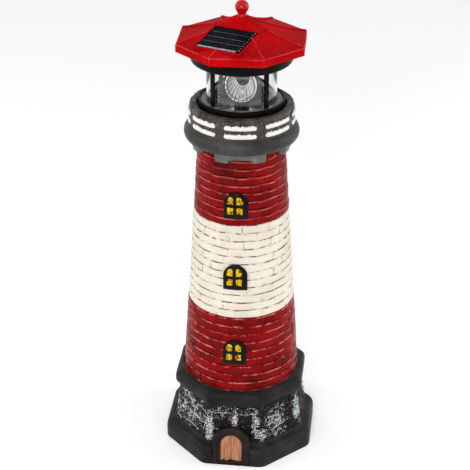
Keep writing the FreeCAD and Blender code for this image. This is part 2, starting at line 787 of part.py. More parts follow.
def lantern_cup():
    """Black cup with a flange: deck for the mirror above, bosses for the chassis and cover below."""
    shell = lathe("cup_shell", [
        (cup_radius, cup_foot), (cup_radius, ledge), (flange_radius, ledge),
        (flange_radius, flange_head - flange_round, -flange_round),
        (flange_radius - flange_round, flange_head), (flange_radius - flange_lip, flange_head),
        (flange_radius - flange_lip, annulus), (well_radius, annulus), (well_radius, deck_head),
        (spigot_radius + running_gap, deck_head), (spigot_radius + running_gap, deck_foot),
        (cup_inner, deck_foot), (cup_inner, cup_foot)])
    bosses = spread("cup_boss", boss_radius, deck_foot - cover_head, boss_reach, cover_head, BOSS_ANGLES)
    webs = spread("cup_boss_web", boss_radius, deck_foot - cover_head, boss_reach + boss_radius, cover_head,
                  BOSS_ANGLES)
    pillars = spread("pillar", pillar_radius, chassis_drop, pillar_reach, chassis_head, PILLAR_ANGLES)
    inside = cylinder("cup_space", cup_radius, cup_depth, z=cup_foot)
    fittings = common("cup_fittings", fuse("cup_bosses", *bosses, *webs, *pillars), inside)
    drills = spread("boss_drill", screw_radius, screw_length, boss_reach, cover_head, BOSS_ANGLES)
    drills += spread("pillar_drill", screw_radius, screw_length, pillar_reach, chassis_head, PILLAR_ANGLES)
    subpart("lantern_cup", cut("lantern_cup", fuse("cup_body", shell, fittings), *drills))


def screws(label, reach, seat, angles):
    """Slotted pan-head screws driven upward from a seat."""
    made = []
    shanks = spread(label + "_shank", screw_radius, screw_length, reach, seat, angles)
    heads = spread(label + "_head", screw_head_radius, screw_head_height, reach, seat - screw_head_height, angles)
    for i, (shank, head) in enumerate(zip(shanks, heads)):
        x, y = polar(reach, angles[i])
        slot = block(f"{label}_slot_{i + 1}", screw_head_radius * 3, screw_slot, screw_slot,
                     x, y, seat - screw_head_height)
        made.append(cut(f"{label}_{i + 1}", fuse(f"{label}_blank_{i + 1}", shank, head), slot))
    together = doc.addObject("Part::Compound", label)
    together.Links = made
    subpart(label, together)


def deck_trim():
    """Pale disc on the deck, and the washer that the mirror's stem turns on."""
    hole = cylinder("disc_hole", stem_radius + fit_gap * 5, floor_disc_thickness, z=deck_head)
    disc = cylinder("disc_blank", tube_radius - tube_wall - fit_gap, floor_disc_thickness, z=deck_head)
    subpart("floor_disc", cut("floor_disc", disc, hole))
    washer = cylinder("washer_blank", stem_radius, washer_thickness, z=deck_head)
    bore = cylinder("washer_bore", spigot_radius + running_gap, washer_thickness, z=deck_head)
    subpart("thrust_washer", cut("thrust_washer", washer, bore))


def lens_tube():
    tube_height = bowl_foot + tube_groove - deck_head
    outside = cylinder("tube_outside", tube_radius, tube_height, z=deck_head)
    inside = cylinder("tube_inside", tube_radius - tube_wall, tube_height, z=deck_head)
    subpart("lens_tube", cut("lens_tube", outside, inside))


def lantern_posts():
    """Four flat posts between the flange and the bowl, outside the clear tube."""
    post = doc.addObject("PartDesign::Body", "lantern_posts")
    back, half = post_reach - post_thickness / 2, post_width / 2
    front = back + post_thickness
    section = raised(post, "post_section", [(back + post_thickness / 4, -half), (front, -half), (front, half),
                                            (back + post_thickness / 4, half)], annulus)
    bar = pad(post, "post_bar", section, bowl_foot - annulus)
    around(post, "post_ring", [bar], 4)
    subpart("lantern_posts", place(post, turn=head_turn + 45.0))


def roof_bowl():
    """Round black bowl under the roof, with an eight-sided flange that fills the eaves."""
    wall = lathe("bowl_wall", [
        (0.0, bowl_foot), (tube_radius - tube_wall - fit_gap, bowl_foot),
        (tube_radius - tube_wall - fit_gap, bowl_foot + tube_groove), (well_radius, bowl_foot + tube_groove),
        (well_radius, bowl_foot), (bowl_radius - bowl_wall, bowl_foot, -bowl_wall),
        (bowl_radius, bowl_foot + bowl_wall), (bowl_radius, soffit_foot),
        (bowl_radius - bowl_wall, soffit_foot), (bowl_radius - bowl_wall, bowl_floor), (0.0, bowl_floor)])
    flange = octagon("bowl_flange", roof_radius - (roof_wall + fit_gap) / FLAT, soffit_thickness, soffit_foot)
    opening = cylinder("bowl_opening", bowl_radius - bowl_wall, soffit_thickness, z=soffit_foot)
    drills = spread("bowl_drill", screw_radius, soffit_thickness, roof_screw_reach, soffit_foot,
                    ROOF_SCREW_ANGLES)
    rim = cut("bowl_rim", place(flange, z=soffit_foot, turn=HALF_FACET + head_turn.value), opening, *drills)
    stands = spread("board_stand", board_boss_radius, board_stand, board_boss_reach, bowl_floor, (0, 180))
    pins = spread("board_pin", board_pin_radius, board_stand + board_thickness, board_boss_reach, bowl_floor,
                  (0, 180))
    subpart("roof_bowl", fuse("roof_bowl", wall, rim, *stands, *pins))


def circuit_board():
    """Charging board on its two stands, with the chip that drives the lamp and motor."""
    plate = block("board_plate", board_length, board_depth, board_thickness, z=board_foot)
    holes = spread("board_hole", board_pin_radius + fit_gap, board_thickness, board_boss_reach, board_foot,
                   (0, 180))
    chip = block("board_chip", board_boss_radius * 3, board_boss_radius * 2, board_thickness,
                 z=board_foot + board_thickness)
    subpart("circuit_board", fuse("circuit_board", cut("board_drilled", plate, *holes), chip))


def roof_solid(name, inset, drop, lift=0.0):
    """The roof as a solid: an eight-sided block whose top is cut back to one hollow curve a side."""
    body = doc.addObject("PartDesign::Body", name)
    edge, crown = roof_flat - inset, roof_crown - inset / 2
    edge_head, head = rim_edge - drop + lift, crown_head - drop + lift
    pad(body, name + "_block", raised(body, name + "_plan", octagon_corners(edge / FLAT), fascia_foot),
        head - fascia_foot)
    side = outline(body, name + "_curve", [
        (crown, head + rib_relief), (crown, head, roof_curve), (edge, edge_head),
        (edge + roof_wall, edge_head), (edge + roof_wall, head + rib_relief)], "YZ_Plane")
    slope = pocket(body, name + "_slope", side)
    around(body, name + "_slopes", [slope], 8)
    return place(body, turn=head_turn)


def on_panel(thing):
    """Places a body drawn about the panel's centre: +Y uphill, +Z off its face."""
    x0, y0 = polar(panel_reach, PANEL_ANGLE)
    lean = Rotation(Vector(1, 0, 0), number(panel_slope))
    around_z = Rotation(UP, PANEL_ANGLE + 90)
    thing.Placement = Placement(Vector(number(x0), number(y0), number(rim_edge + panel_lift)), around_z * lean)
    thing.setExpression("Placement.Base.x", x0.formula)
    thing.setExpression("Placement.Base.y", y0.formula)
    thing.setExpression("Placement.Base.z", (rim_edge + panel_lift).formula)
    return thing


def panel_block(name, grow, foot, head):
    """A block of the panel's outline, grown all round, between two levels of the panel's own frame."""
    body = doc.addObject("PartDesign::Body", name)
    half_x, half_y = panel_length / 2 + grow, panel_depth / 2 + grow
    pad(body, name + "_pad", raised(body, name + "_plan", [
        (-half_x, -half_y), (half_x, -half_y), (half_x, half_y), (-half_x, half_y)], foot), head - foot)
    return on_panel(body)


def panel_ramp_block(name, grow, below, above):
    """The sloping wall at the panel's uphill edge, or the space above it, as a leaning slab."""
    body = doc.addObject("PartDesign::Body", name)
    lean = math.radians(panel_ramp.value)
    edge, run = panel_depth / 2 + fit_gap, panel_depth / 2
    rise_y, rise_z = run * math.cos(lean), run * math.sin(lean)
    out_y, out_z = -math.sin(lean), math.cos(lean)
    corners = [(edge + below * out_y, below * out_z), (edge + rise_y + below * out_y, rise_z + below * out_z),
               (edge + rise_y + above * out_y, rise_z + above * out_z), (edge + above * out_y, above * out_z)]
    pad(body, name + "_pad", outline(body, name + "_side", corners, "YZ_Plane"), panel_length + grow * 2,
        symmetric=True)
    return on_panel(body)


PANEL_ANGLE = FRONT - HALF_FACET + head_turn.value


def roof_shell():
    """Moulded roof: hollow, with ribs on its eight hips and a sunk tray for the solar panel."""
    outer = roof_solid("roof_outer", NOTHING, NOTHING)
    inner = roof_solid("roof_inner", roof_wall, roof_wall)
    ribbed = roof_solid("roof_ribbed", NOTHING, NOTHING, rib_relief)
    plates = []
    for i in range(4):
        plate = block(f"rib_plate_{i + 1}", roof_radius * 2, rib_width, fascia_height + roof_rise + rib_relief,
                      z=fascia_foot)
        centred = Placement(Vector(), Rotation(UP, head_turn.value + HALF_FACET + 45 * i))
        plate.Placement = centred * plate.Placement
        plate.setExpression("Placement.Base.x", None)
        plate.setExpression("Placement.Base.y", None)
        plates.append(plate)
    ribs = common("roof_ribs", ribbed, fuse("rib_plates", *plates))
    shell = cut("roof_skin", fuse("roof_skin_ribs", outer, ribs), inner)
    lowest, above = -(panel_thickness + tray_wall), panel_depth
    tray = common("tray_sides", panel_block("tray_block", tray_wall + fit_gap, lowest, above), outer)
    seat = panel_block("tray_seat", tray_wall + fit_gap, lowest, NOTHING)
    ramp = common("tray_ramp", panel_ramp_block("ramp_plate", tray_wall, -tray_wall, NOTHING), outer)
    bosses = spread("roof_boss", roof_boss_radius, fascia_height + roof_rise, roof_screw_reach, soffit_head,
                    ROOF_SCREW_ANGLES)
    columns = common("roof_bosses", fuse("roof_boss_bars", *bosses), outer)
    solid = fuse("roof_solid", shell, tray, seat, ramp, columns)
    space = panel_block("tray_space", fit_gap, -panel_thickness, above)
    ramp_space = panel_ramp_block("ramp_space", fit_gap, NOTHING, above)
    drills = spread("roof_drill", screw_radius, screw_length - soffit_thickness, roof_screw_reach, soffit_head,
                    ROOF_SCREW_ANGLES)
    peg = cylinder("finial_hole", finial_peg + fit_gap, roof_wall * 2, z=crown_head - roof_wall * 2)
    seat_round = cylinder("finial_seat", finial_neck + fit_gap, rib_relief * 2, z=crown_head)
    subpart("roof_shell", cut("roof_shell", solid, space, ramp_space, peg, seat_round, *drills))


def solar_panel():
    """Flat glass panel that lies in the roof's tray."""
    body = panel_block("solar_panel", NOTHING, -panel_thickness, NOTHING)
    subpart("solar_panel", body)


def finial():
    """Ball on a neck, with a peg into the roof's crown."""
    drop = root(finial_radius * finial_radius - finial_neck * finial_neck)
    subpart("finial", lathe("finial", [
        (0.0, crown_head - roof_wall), (finial_peg, crown_head - roof_wall), (finial_peg, crown_head),
        (finial_neck, crown_head), (finial_neck, ball_height - drop, finial_radius),
        (finial_radius, ball_height, -finial_radius), (0.0, ball_height + finial_radius)]))


# ---------------------------------------------------------------- turning mirror and drive
def half_thickness(radius_ratio, teeth, backlash_ratio):
    """Half the angle of a tooth at a radius given in pitch radii, for 25 degree involute flanks."""
    pressure = math.radians(25)
    base_ratio = math.cos(pressure)
    flank = math.acos(min(1.0, base_ratio / max(radius_ratio, base_ratio)))
    involute = math.tan(flank) - flank
    return (math.pi / 2 - backlash_ratio) / teeth + math.tan(pressure) - pressure - involute


def gear_blank(name, teeth, first_angle, foot, width, bore):
    """Spur wheel: a root disc with one involute tooth repeated round it."""
    count = int(teeth.value)
    pitch = gear_module * teeth / 2
    backlash = gear_backlash.value / gear_module.value / 2
    tip, root_radius = pitch + gear_module * 0.8, pitch - gear_module * 1.05
    body = doc.addObject("PartDesign::Body", name + "_blank")
    revolve(body, name + "_disc", outline(body, name + "_section", [
        (0.0, foot), (root_radius, foot), (root_radius, foot + width), (0.0, foot + width)]))
    steps = (root_radius * 0.97, root_radius, (root_radius + pitch) / 2, pitch, (pitch + tip) / 2, tip)
    left, right = [], []
    for radius in steps:
        half = math.degrees(half_thickness(radius.value / pitch.value, count, backlash))
        left.append(polar(radius, half))
        right.append(polar(radius, -half))
    tooth = pad(body, name + "_tooth", raised(body, name + "_flank", right + left[::-1], foot), width)
    around(body, name + "_teeth", [tooth], count)
    place(body, turn=first_angle)
    return cut(name, body, cylinder(name + "_bore", bore, width, z=foot))


def drive():
    """Motor and pinion under the chassis, wheel on the mirror's stem, lamp on a fixed post."""
    wheel = gear_blank("wheel", gear_teeth, FRONT, gear_foot, gear_width, spigot_radius)
    hub_foot, hub_head = chassis_head + end_float, deck_foot - end_float
    hub = cut("wheel_hub", cylinder("wheel_hub_blank", gear_hub_radius, hub_head - hub_foot, z=hub_foot),
              cylinder("wheel_hub_bore", spigot_radius, hub_head - hub_foot, z=hub_foot))
    subpart("drive_gear", fuse("drive_gear", wheel, hub))
    half_gap = 180.0 / pinion_teeth.value
    pinion = gear_blank("pinion", pinion_teeth, -FRONT + half_gap, gear_foot - end_float,
                        gear_width + end_float * 2, motor_shaft_radius)
    subpart("pinion", place(pinion, y=motor_y))
    shaft_base = chassis_foot - motor_length / 2
    subpart("motor_shaft", cylinder("motor_shaft", motor_shaft_radius, gear_foot + gear_width + end_float
                                    - shaft_base, 0.0, motor_y, shaft_base))
    can = cylinder("motor_can", motor_radius, motor_length, 0.0, motor_y, motor_foot)
    nose = cylinder("motor_nose", motor_nose_radius, chassis_thickness / 2, 0.0, motor_y, chassis_foot)
    bore = cylinder("motor_bore", motor_shaft_radius + running_gap, motor_length, 0.0, motor_y, shaft_base)
    subpart("motor", cut("motor", fuse("motor_case", can, nose), bore))
    plate = cylinder("chassis_disc", chassis_radius, chassis_thickness, z=chassis_foot)
    holes = spread("chassis_hole", screw_radius + fit_gap, chassis_thickness, pillar_reach, chassis_foot,
                   PILLAR_ANGLES)
    socket = cylinder("motor_socket", motor_nose_radius + fit_gap, chassis_thickness, 0.0, motor_y, chassis_foot)
    centre = cylinder("lamp_socket", lamp_post_radius, chassis_thickness, z=chassis_foot)
    subpart("chassis_plate", cut("chassis_plate", plate, socket, centre, *holes))
    screws("chassis_screws", pillar_reach, chassis_foot, PILLAR_ANGLES)


def lamp():
    """Fixed post through the hollow stem, and the lamp on its top inside the mirror."""
    subpart("lamp_post", cylinder("lamp_post", lamp_post_radius, lamp_foot - chassis_foot, z=chassis_foot))
    dome_foot = lamp_foot + lamp_height - lamp_radius
    subpart("lamp", lathe("lamp", [
        (0.0, lamp_foot), (lamp_radius, lamp_foot), (lamp_radius, dome_foot, -lamp_radius),
        (0.0, dome_foot + lamp_radius)]))


def mirror_form(name, solid):
    """The mirror's cup about a level axis facing -Y: the metal alone, or filled to cut its saddle."""
    body = doc.addObject("PartDesign::Body", name)
    back, front = -mirror_reach, mirror_reach
    outside = [(mirror_back_radius + mirror_wall, back, mirror_curve),
               (mirror_radius, front - mirror_rim), (mirror_radius + mirror_wall, front - mirror_rim),
               (mirror_radius + mirror_wall, front)]
    if solid:
        points = [(0.0, back)] + outside + [(0.0, front)]
    else:
        points = outside + [(mirror_radius - mirror_wall / 2, front), (mirror_radius - mirror_wall, front
                            - mirror_rim, mirror_curve), (mirror_back_radius, back)]
    revolve(body, name + "_turning", outline(body, name + "_profile", points))
    body.Placement = Placement(Vector(0, 0, mirror_height.value), Rotation(Vector(1, 0, 0), 90))
    body.setExpression("Placement.Base.z", mirror_height.formula)
    return body


def beacon():
    """Round stem that turns in the deck and carries the mirror on a saddle."""
    stem = cylinder("stem", stem_radius, saddle_foot + saddle_height - stem_foot, z=stem_foot)
    spigot = cylinder("spigot", spigot_radius, stem_foot - chassis_head - end_float, z=chassis_head + end_float)
    bore = cylinder("stem_hole", stem_bore, mirror_height - chassis_head, z=chassis_head)
    form = mirror_form("saddle_form", solid=True)
    subpart("beacon_stem", cut("beacon_stem", fuse("stem_blank", stem, spigot), bore, form))
    cup = mirror_form("mirror_cup", solid=False)
    slot = cylinder("mirror_slot", stem_bore, mirror_radius, z=saddle_foot)
    subpart("mirror", cut("mirror", cup, slot))


# ---------------------------------------------------------------- battery, cover and switch
def base_cover():
    """Cover across the cup's mouth, with the battery's cradle, its hatch and the switch's slot."""
    plate = cylinder("cover_plate", cup_inner - fit_gap, cover_thickness, z=cover_head - cover_thickness)
    contact_gap = contact_thickness + fit_gap * 2
    cradle_length = battery_length + battery_nub + (contact_gap + cradle_wall) * 2
    cradle_height = contact_height + cradle_wall
    cradle = block("cradle_block", cradle_length, contact_width, cradle_height, 0.0, battery_y, cover_head)
    space = block("cradle_space", cradle_length - cradle_wall * 2, contact_width, cradle_height, 0.0, battery_y,
                  cover_head)
    inset = hatch_ledge * 2
    mouth = block("hatch_mouth", hatch_length - inset, hatch_depth - inset, cover_thickness, 0.0, battery_y,
                  cup_foot)
    rebate = block("hatch_rebate", hatch_length, hatch_depth, hatch_thickness, 0.0, battery_y, cup_foot)
    slot = block("switch_slot", knob_length + switch_travel + fit_gap * 4, knob_depth + fit_gap * 4,
                 cover_thickness, switch_x + switch_travel / 2, switch_y, cup_foot)
    holes = spread("cover_hole", screw_radius + fit_gap, cover_thickness, boss_reach, cup_foot, BOSS_ANGLES)
    sinks = spread("cover_sink", screw_head_radius + fit_gap, screw_head_height, boss_reach, cup_foot,
                   BOSS_ANGLES)
    walls = cut("cradle", cradle, space)
    subpart("base_cover", cut("base_cover", fuse("cover_body", plate, walls), mouth, rebate, slot, *holes, *sinks))
    screws("cover_screws", boss_reach, cup_foot + screw_head_height, BOSS_ANGLES)
    subpart("battery_hatch", block("battery_hatch", hatch_length - fit_gap * 4, hatch_depth - fit_gap * 4,
                                   hatch_thickness, 0.0, battery_y, cup_foot))


def battery():
    """One cell lying in the cradle between two spring plates."""
    lying = Rotation(Vector(0, 1, 0), 90)
    can = cylinder("battery_can", battery_radius, battery_length)
    nub = cylinder("battery_nub_end", battery_nub_radius, battery_nub)
    for made, x in ((can, -(battery_length + battery_nub) / 2), (nub, (battery_length - battery_nub) / 2)):
        made.Placement = Placement(Vector(x.value, battery_y.value, battery_height.value), lying)
        made.setExpression("Placement.Base.x", x.formula)
        made.setExpression("Placement.Base.y", battery_y.formula)
        made.setExpression("Placement.Base.z", battery_height.formula)
    subpart("battery", fuse("battery", can, nub))
    reach = (battery_length + battery_nub + contact_thickness) / 2 + fit_gap
    plates = doc.addObject("Part::Compound", "battery_contacts")
    plates.Links = [block(f"contact_{side}", contact_thickness, contact_width, contact_height,
                          reach * sign, battery_y, cover_head)
                    for side, sign in (("plus", 1), ("minus", -1))]
    subpart("battery_contacts", plates)


def switch():
    """Slide switch behind the cover: a fixed case and the slider whose knob shows in the slot."""
    case_length = switch_length + switch_travel
    middle_x = switch_x + switch_travel / 2
    case = block("switch_case_block", case_length, switch_depth, switch_height, middle_x, switch_y, cover_head)
    run = block("switch_run", case_length - cradle_wall * 2, switch_depth - cradle_wall * 2,
                switch_height - cradle_wall, middle_x, switch_y, cover_head)
    subpart("switch_case", cut("switch_case", case, run))
    carriage_length = case_length - cradle_wall * 2 - switch_travel - slider_gap * 2
    carriage = block("switch_carriage", carriage_length, switch_depth - cradle_wall * 2 - slider_gap * 2,
                     switch_height - cradle_wall - slider_gap * 2, switch_x, switch_y, cover_head + slider_gap)
    knob = block("switch_knob", knob_length, knob_depth - slider_gap, cover_thickness, switch_x, switch_y,
                 cup_foot + slider_gap)
    subpart("switch_slider", fuse("switch_slider", carriage, knob))


base_casting()
shaft_casting()
gallery_casting()
lantern_cup()
deck_trim()
lens_tube()
lantern_posts()
roof_bowl()
circuit_board()
roof_shell()
solar_panel()
finial()
screws("roof_screws", roof_screw_reach, soffit_foot, ROOF_SCREW_ANGLES)
drive()
lamp()
beacon()
base_cover()
battery()
switch()

# ---------------------------------------------------------------- check and write
doc.recompute()
failed = [thing.Name for thing in doc.Objects if {"Invalid", "Error"} & set(thing.State)]
if failed:
    raise RuntimeError(f"these objects did not build: {failed}")
for thing in subparts:
    if thing.Shape.isNull() or not thing.Shape.isValid():
        raise RuntimeError(f"{thing.Label} has no sound shape")
os.makedirs("parts", exist_ok=True)
for thing in subparts:
    thing.Shape.exportStep(f"parts/{thing.Label}.step")
    print(f"{thing.Label}: {len(thing.Shape.Solids)} solid(s), {thing.Shape.Volume / 1000:.2f} cm3")
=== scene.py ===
# %% [markdown]
# # A solar garden lighthouse
# A cast tower on an eight-sided base, with a lift-off lantern whose mirror turns.
# The solids come from the CAD model as a fixed frame. This file gives each visible
# piece its photographed surface, working from the ground up, then lights and
# photographs it.
# %% Load the frame
import math
import random

import bmesh
import bpy
from mathutils import Matrix, Vector, noise


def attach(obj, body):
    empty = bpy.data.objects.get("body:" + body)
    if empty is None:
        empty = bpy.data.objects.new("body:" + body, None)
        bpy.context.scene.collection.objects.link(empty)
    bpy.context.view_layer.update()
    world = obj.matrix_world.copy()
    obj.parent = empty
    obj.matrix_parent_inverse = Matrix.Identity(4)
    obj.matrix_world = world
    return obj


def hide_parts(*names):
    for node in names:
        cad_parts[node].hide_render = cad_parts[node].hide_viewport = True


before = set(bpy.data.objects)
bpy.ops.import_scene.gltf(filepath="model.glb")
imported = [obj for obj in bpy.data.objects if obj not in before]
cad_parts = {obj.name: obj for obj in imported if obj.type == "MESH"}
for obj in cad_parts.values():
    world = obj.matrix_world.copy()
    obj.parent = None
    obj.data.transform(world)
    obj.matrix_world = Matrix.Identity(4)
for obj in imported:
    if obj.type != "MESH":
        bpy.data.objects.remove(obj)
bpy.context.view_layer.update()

scene = bpy.context.scene
MM = 0.001
SAME_POINT = 0.0005

# %% [markdown]
# ## Small helpers
# Every piece is made in a bmesh, in millimetres, because that is how it was
# measured. One helper turns it into an object in metres, joins doubled points,
# points the faces outwards, gives it a finish and lets it ride on its body.
# Smooth shading with a sharp-edge angle keeps turned forms round and hips crisp.
# %% Helpers for meshes
def finish_piece(bm, name, body, material, replaces=(), sharp=35, fix=True):
    """Makes an object of a bmesh drawn in millimetres and hangs it on a body."""
    bmesh.ops.remove_doubles(bm, verts=bm.verts, dist=SAME_POINT)
    if fix:
        bmesh.ops.recalc_face_normals(bm, faces=bm.faces)
    bmesh.ops.scale(bm, vec=(MM, MM, MM), verts=bm.verts)
    mesh = bpy.data.meshes.new(name)
    bm.to_mesh(mesh)
    bm.free()
    mesh.shade_smooth()
    mesh.set_sharp_from_angle(angle=math.radians(sharp))
    piece = bpy.data.objects.new(name, mesh)
    scene.collection.objects.link(piece)
    mesh.materials.append(material)
    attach(piece, body)
    for node in replaces:
        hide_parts(node)
    return piece


def lathe(bm, profile, steps=96, closed=True):
    """Turns a profile of (radius, height) about Z; closed joins its last point to its first."""
    points = [bm.verts.new((r, 0.0, z)) for r, z in profile]
    pairs = list(zip(points, points[1:]))
    if closed:
        pairs.append((points[-1], points[0]))
    edges = [bm.edges.new(pair) for pair in pairs]
    bmesh.ops.spin(bm, geom=points + edges, cent=(0, 0, 0), axis=(0, 0, 1), angle=math.tau, steps=steps,
                   use_merge=True)
    bmesh.ops.remove_doubles(bm, verts=bm.verts, dist=SAME_POINT)


def turned(profile, steps, closed=True):
    """A new bmesh with one turned profile."""
    bm = bmesh.new()
    lathe(bm, profile, steps, closed)
    return bm


def rounded(profile, radius, steps=3):
    """A (radius, height) profile with its corners rounded by short arcs."""
    out = []
    for i, here in enumerate(profile):
        before, after = Vector(profile[i - 1]), Vector(profile[(i + 1) % len(profile)])
        corner = Vector(here)
        room = min((before - corner).length, (after - corner).length) * 0.45
        cut = min(radius, room)
        if cut < 0.05:
            out.append(tuple(corner))
            continue
        start = corner + (before - corner).normalized() * cut
        end = corner + (after - corner).normalized() * cut
        for k in range(steps + 1):
            u = k / steps
            out.append(tuple(start * (1 - u) ** 2 + corner * 2 * u * (1 - u) + end * u ** 2))
    return out


def box(bm, size, centre, turn=0.0):
    """A box of a size in millimetres about a centre, turned about Z."""
    place = Matrix.Rotation(turn, 4, "Z") @ Matrix.Translation(centre) @ Matrix.Diagonal((*size, 1.0))
    return bmesh.ops.create_cube(bm, size=1.0, matrix=place)["verts"]


def bevel_all(bm, verts, width, segments=2, steepest=0.5):
    """Rounds the edges among some points that turn by more than an angle."""
    chosen = set(verts)
    edges = [e for e in bm.edges if e.verts[0] in chosen and e.verts[1] in chosen
             and len(e.link_faces) == 2 and e.calc_face_angle(0) > steepest]
    bmesh.ops.bevel(bm, geom=edges, offset=width, offset_type="OFFSET", affect="EDGES",
                    segments=segments, profile=0.5, material=-1, clamp_overlap=True)


def slice_at(bm, point, normal, **options):
    """Cuts every face along a plane."""
    return bmesh.ops.bisect_plane(bm, geom=bm.verts[:] + bm.edges[:] + bm.faces[:], plane_co=point,
                                  plane_no=normal, dist=0.0001, **options)


def spread_out(vert, scale):
    """Moves a point level, away from the axis."""
    vert.co.x, vert.co.y = vert.co.x * scale, vert.co.y * scale


def keep_numbers(bm, *names):
    """Numbers stored on every point, which a material can read."""
    return [bm.verts.layers.float.new(name) for name in names]


print("helpers ready")

# %% [markdown]
# ## Small helpers for finishes
# A finish is a Principled shader whose colour, roughness and bump come from noise
# on Object coordinates, so it stays put on the piece from every side. Colours are
# written as the eye reads them in the photograph, three numbers from 0 to 255, and
# turned into the linear values that the shader expects.
# %% Helpers for materials
def paint(red, green, blue):
    """A screen colour as linear RGBA."""
    def linear(level):
        level /= 255
        return level / 12.92 if level <= 0.04045 else ((level + 0.055) / 1.055) ** 2.4
    return (linear(red), linear(green), linear(blue), 1.0)


def rgba(value):
    """Linear RGBA of a grey level, of a screen colour (three numbers), or of RGBA itself."""
    if isinstance(value, tuple):
        return paint(*value) if len(value) == 3 else value
    return (value, value, value, 1.0)


class Finish:
    """A Principled material with short ways to add noise, ramps and bump."""

    def __init__(self, name, **uniform):
        self.material = bpy.data.materials.new(name)
        self.material.use_nodes = True
        self.tree = self.material.node_tree
        self.shader = self.tree.nodes["Principled BSDF"]
        for socket, value in uniform.items():
            self.shader.inputs[socket.replace("_", " ")].default_value = value
        self.place = self.node("ShaderNodeTexCoord").outputs["Object"]

    def node(self, kind, **settings):
        made = self.tree.nodes.new(kind)
        for key, value in settings.items():
            setattr(made, key, value)
        return made

    def link(self, source, target):
        self.tree.links.new(source, target)

    def stretched(self, scale):
        mapping = self.node("ShaderNodeMapping")
        mapping.inputs["Scale"].default_value = scale
        self.link(self.place, mapping.inputs["Vector"])
        return mapping.outputs["Vector"]

    def noise(self, size_mm, detail=4.0, rough=0.55, vector=None, distortion=0.0):
        made = self.node("ShaderNodeTexNoise")
        made.inputs["Scale"].default_value = 1000.0 / size_mm
        made.inputs["Detail"].default_value = detail
        made.inputs["Roughness"].default_value = rough
        made.inputs["Distortion"].default_value = distortion
        self.link(vector or self.place, made.inputs["Vector"])
        return made.outputs["Fac"]

    def cells(self, size_mm, output="Distance"):
        made = self.node("ShaderNodeTexVoronoi")
        made.inputs["Scale"].default_value = 1000.0 / size_mm
        self.link(self.place, made.inputs["Vector"])
        return made.outputs[output]

    def axes(self):
        """Object X, Y and Z in millimetres."""
        apart = self.node("ShaderNodeSeparateXYZ")
        self.link(self.place, apart.inputs[0])
        return [self.maths("MULTIPLY", out, 1000.0) for out in apart.outputs]

    def number(self, name):
        return self.node("ShaderNodeAttribute", attribute_name=name).outputs["Fac"]

    def ramp(self, source, *stops):
        made = self.node("ShaderNodeValToRGB")
        bar = made.color_ramp
        while len(bar.elements) < len(stops):
            bar.elements.new(0.5)
        for element, (at, colour) in zip(bar.elements, stops):
            element.position = at
            element.color = rgba(colour)
        self.link(source, made.inputs["Fac"])
        return made.outputs["Color"]

    def mix(self, factor, first, second):
        made = self.node("ShaderNodeMix", data_type="RGBA")
        made.clamp_factor = True
        for value, socket in ((factor, made.inputs[0]), (first, made.inputs[6]), (second, made.inputs[7])):
            if isinstance(value, tuple):
                socket.default_value = rgba(value)
            else:
                self.link(value, socket)
        return made.outputs[2]

    def maths(self, operation, first, second=None, clamp=False):
        made = self.node("ShaderNodeMath", operation=operation, use_clamp=clamp)
        for value, socket in ((first, made.inputs[0]), (second, made.inputs[1])):
            if isinstance(value, (float, int)):
                socket.default_value = value
            elif value is not None:
                self.link(value, socket)
        return made.outputs[0]

    def times(self, first, second):
        return self.maths("MULTIPLY", first, second)

    def plus(self, first, second):
        return self.maths("ADD", first, second)

    def minus(self, first, second, clamp=False):
        return self.maths("SUBTRACT", first, second, clamp)

    def colour(self, source):
        self.link(source, self.shader.inputs["Base Color"])
        return self

    def roughness(self, source, low, high):
        self.link(self.ramp(source, (0.3, low), (0.7, high)), self.shader.inputs["Roughness"])
        return self

    def bump(self, source, height_mm, strength=1.0):
        made = self.node("ShaderNodeBump")
        made.inputs["Strength"].default_value = strength
        made.inputs["Distance"].default_value = height_mm * MM
        self.link(source, made.inputs["Height"])
        self.link(made.outputs["Normal"], self.shader.inputs["Normal"])
        return self


def plain_finish(name, grain, shades, gloss, bump=None, **uniform):
    """A finish of one noise for colour (grain), one for roughness (gloss) and one for bump."""
    made = Finish(name, **uniform)
    made.colour(made.ramp(made.noise(*grain), *shades))
    made.roughness(made.noise(*gloss[:-2]), *gloss[-2:])
    if bump:
        made.bump(made.noise(*bump[:-2]), *bump[-2:])
    return made.material


print("finish helpers ready")

# %% [markdown]
# ## Brick shaft
# The shaft is cast resin: a taper with low courses of brick in relief, painted red,
# cream and red, then glazed and wiped with a dark wash that stays in the joints.
# A profile is spun about the axis into a fine skin, and each point is then moved by
# the brick pattern: which course it is in, how far it is from the nearest joint,
# and how proud that one brick stands. The same numbers are kept on the points, so
# that the paint can darken the joints, vary from brick to brick and lay a painted
# highlight along the top edge of each brick.
# %% Shaft sizes and the brick pattern
SHAFT_FOOT, SHAFT_HEAD = 74.0, 330.0
FOOT_RADIUS, HEAD_RADIUS = 57.6, 40.6
SHAFT_WALL = 4.2
BRICK_LENGTH = 26.0
JOINT_WIDTH, JOINT_DEPTH = 1.1, 0.95
WINDOW_SILLS = (109.5, 189.5, 262.0)
WINDOW_WIDTH, WINDOW_HEIGHT, WINDOW_RISE = 22.5, 25.5, 9.5
BANDS = (("brick_lower", 74.0, 158.7, 79.1 / 9, 79.6), ("brick_cream", 158.7, 254.2, 95.5 / 12, 158.7),
         ("brick_upper", 254.2, 330.0, 8.0, 254.2))


def shaft_radius(z):
    return FOOT_RADIUS - (FOOT_RADIUS - HEAD_RADIUS) * (z - SHAFT_FOOT) / (SHAFT_HEAD - SHAFT_FOOT)


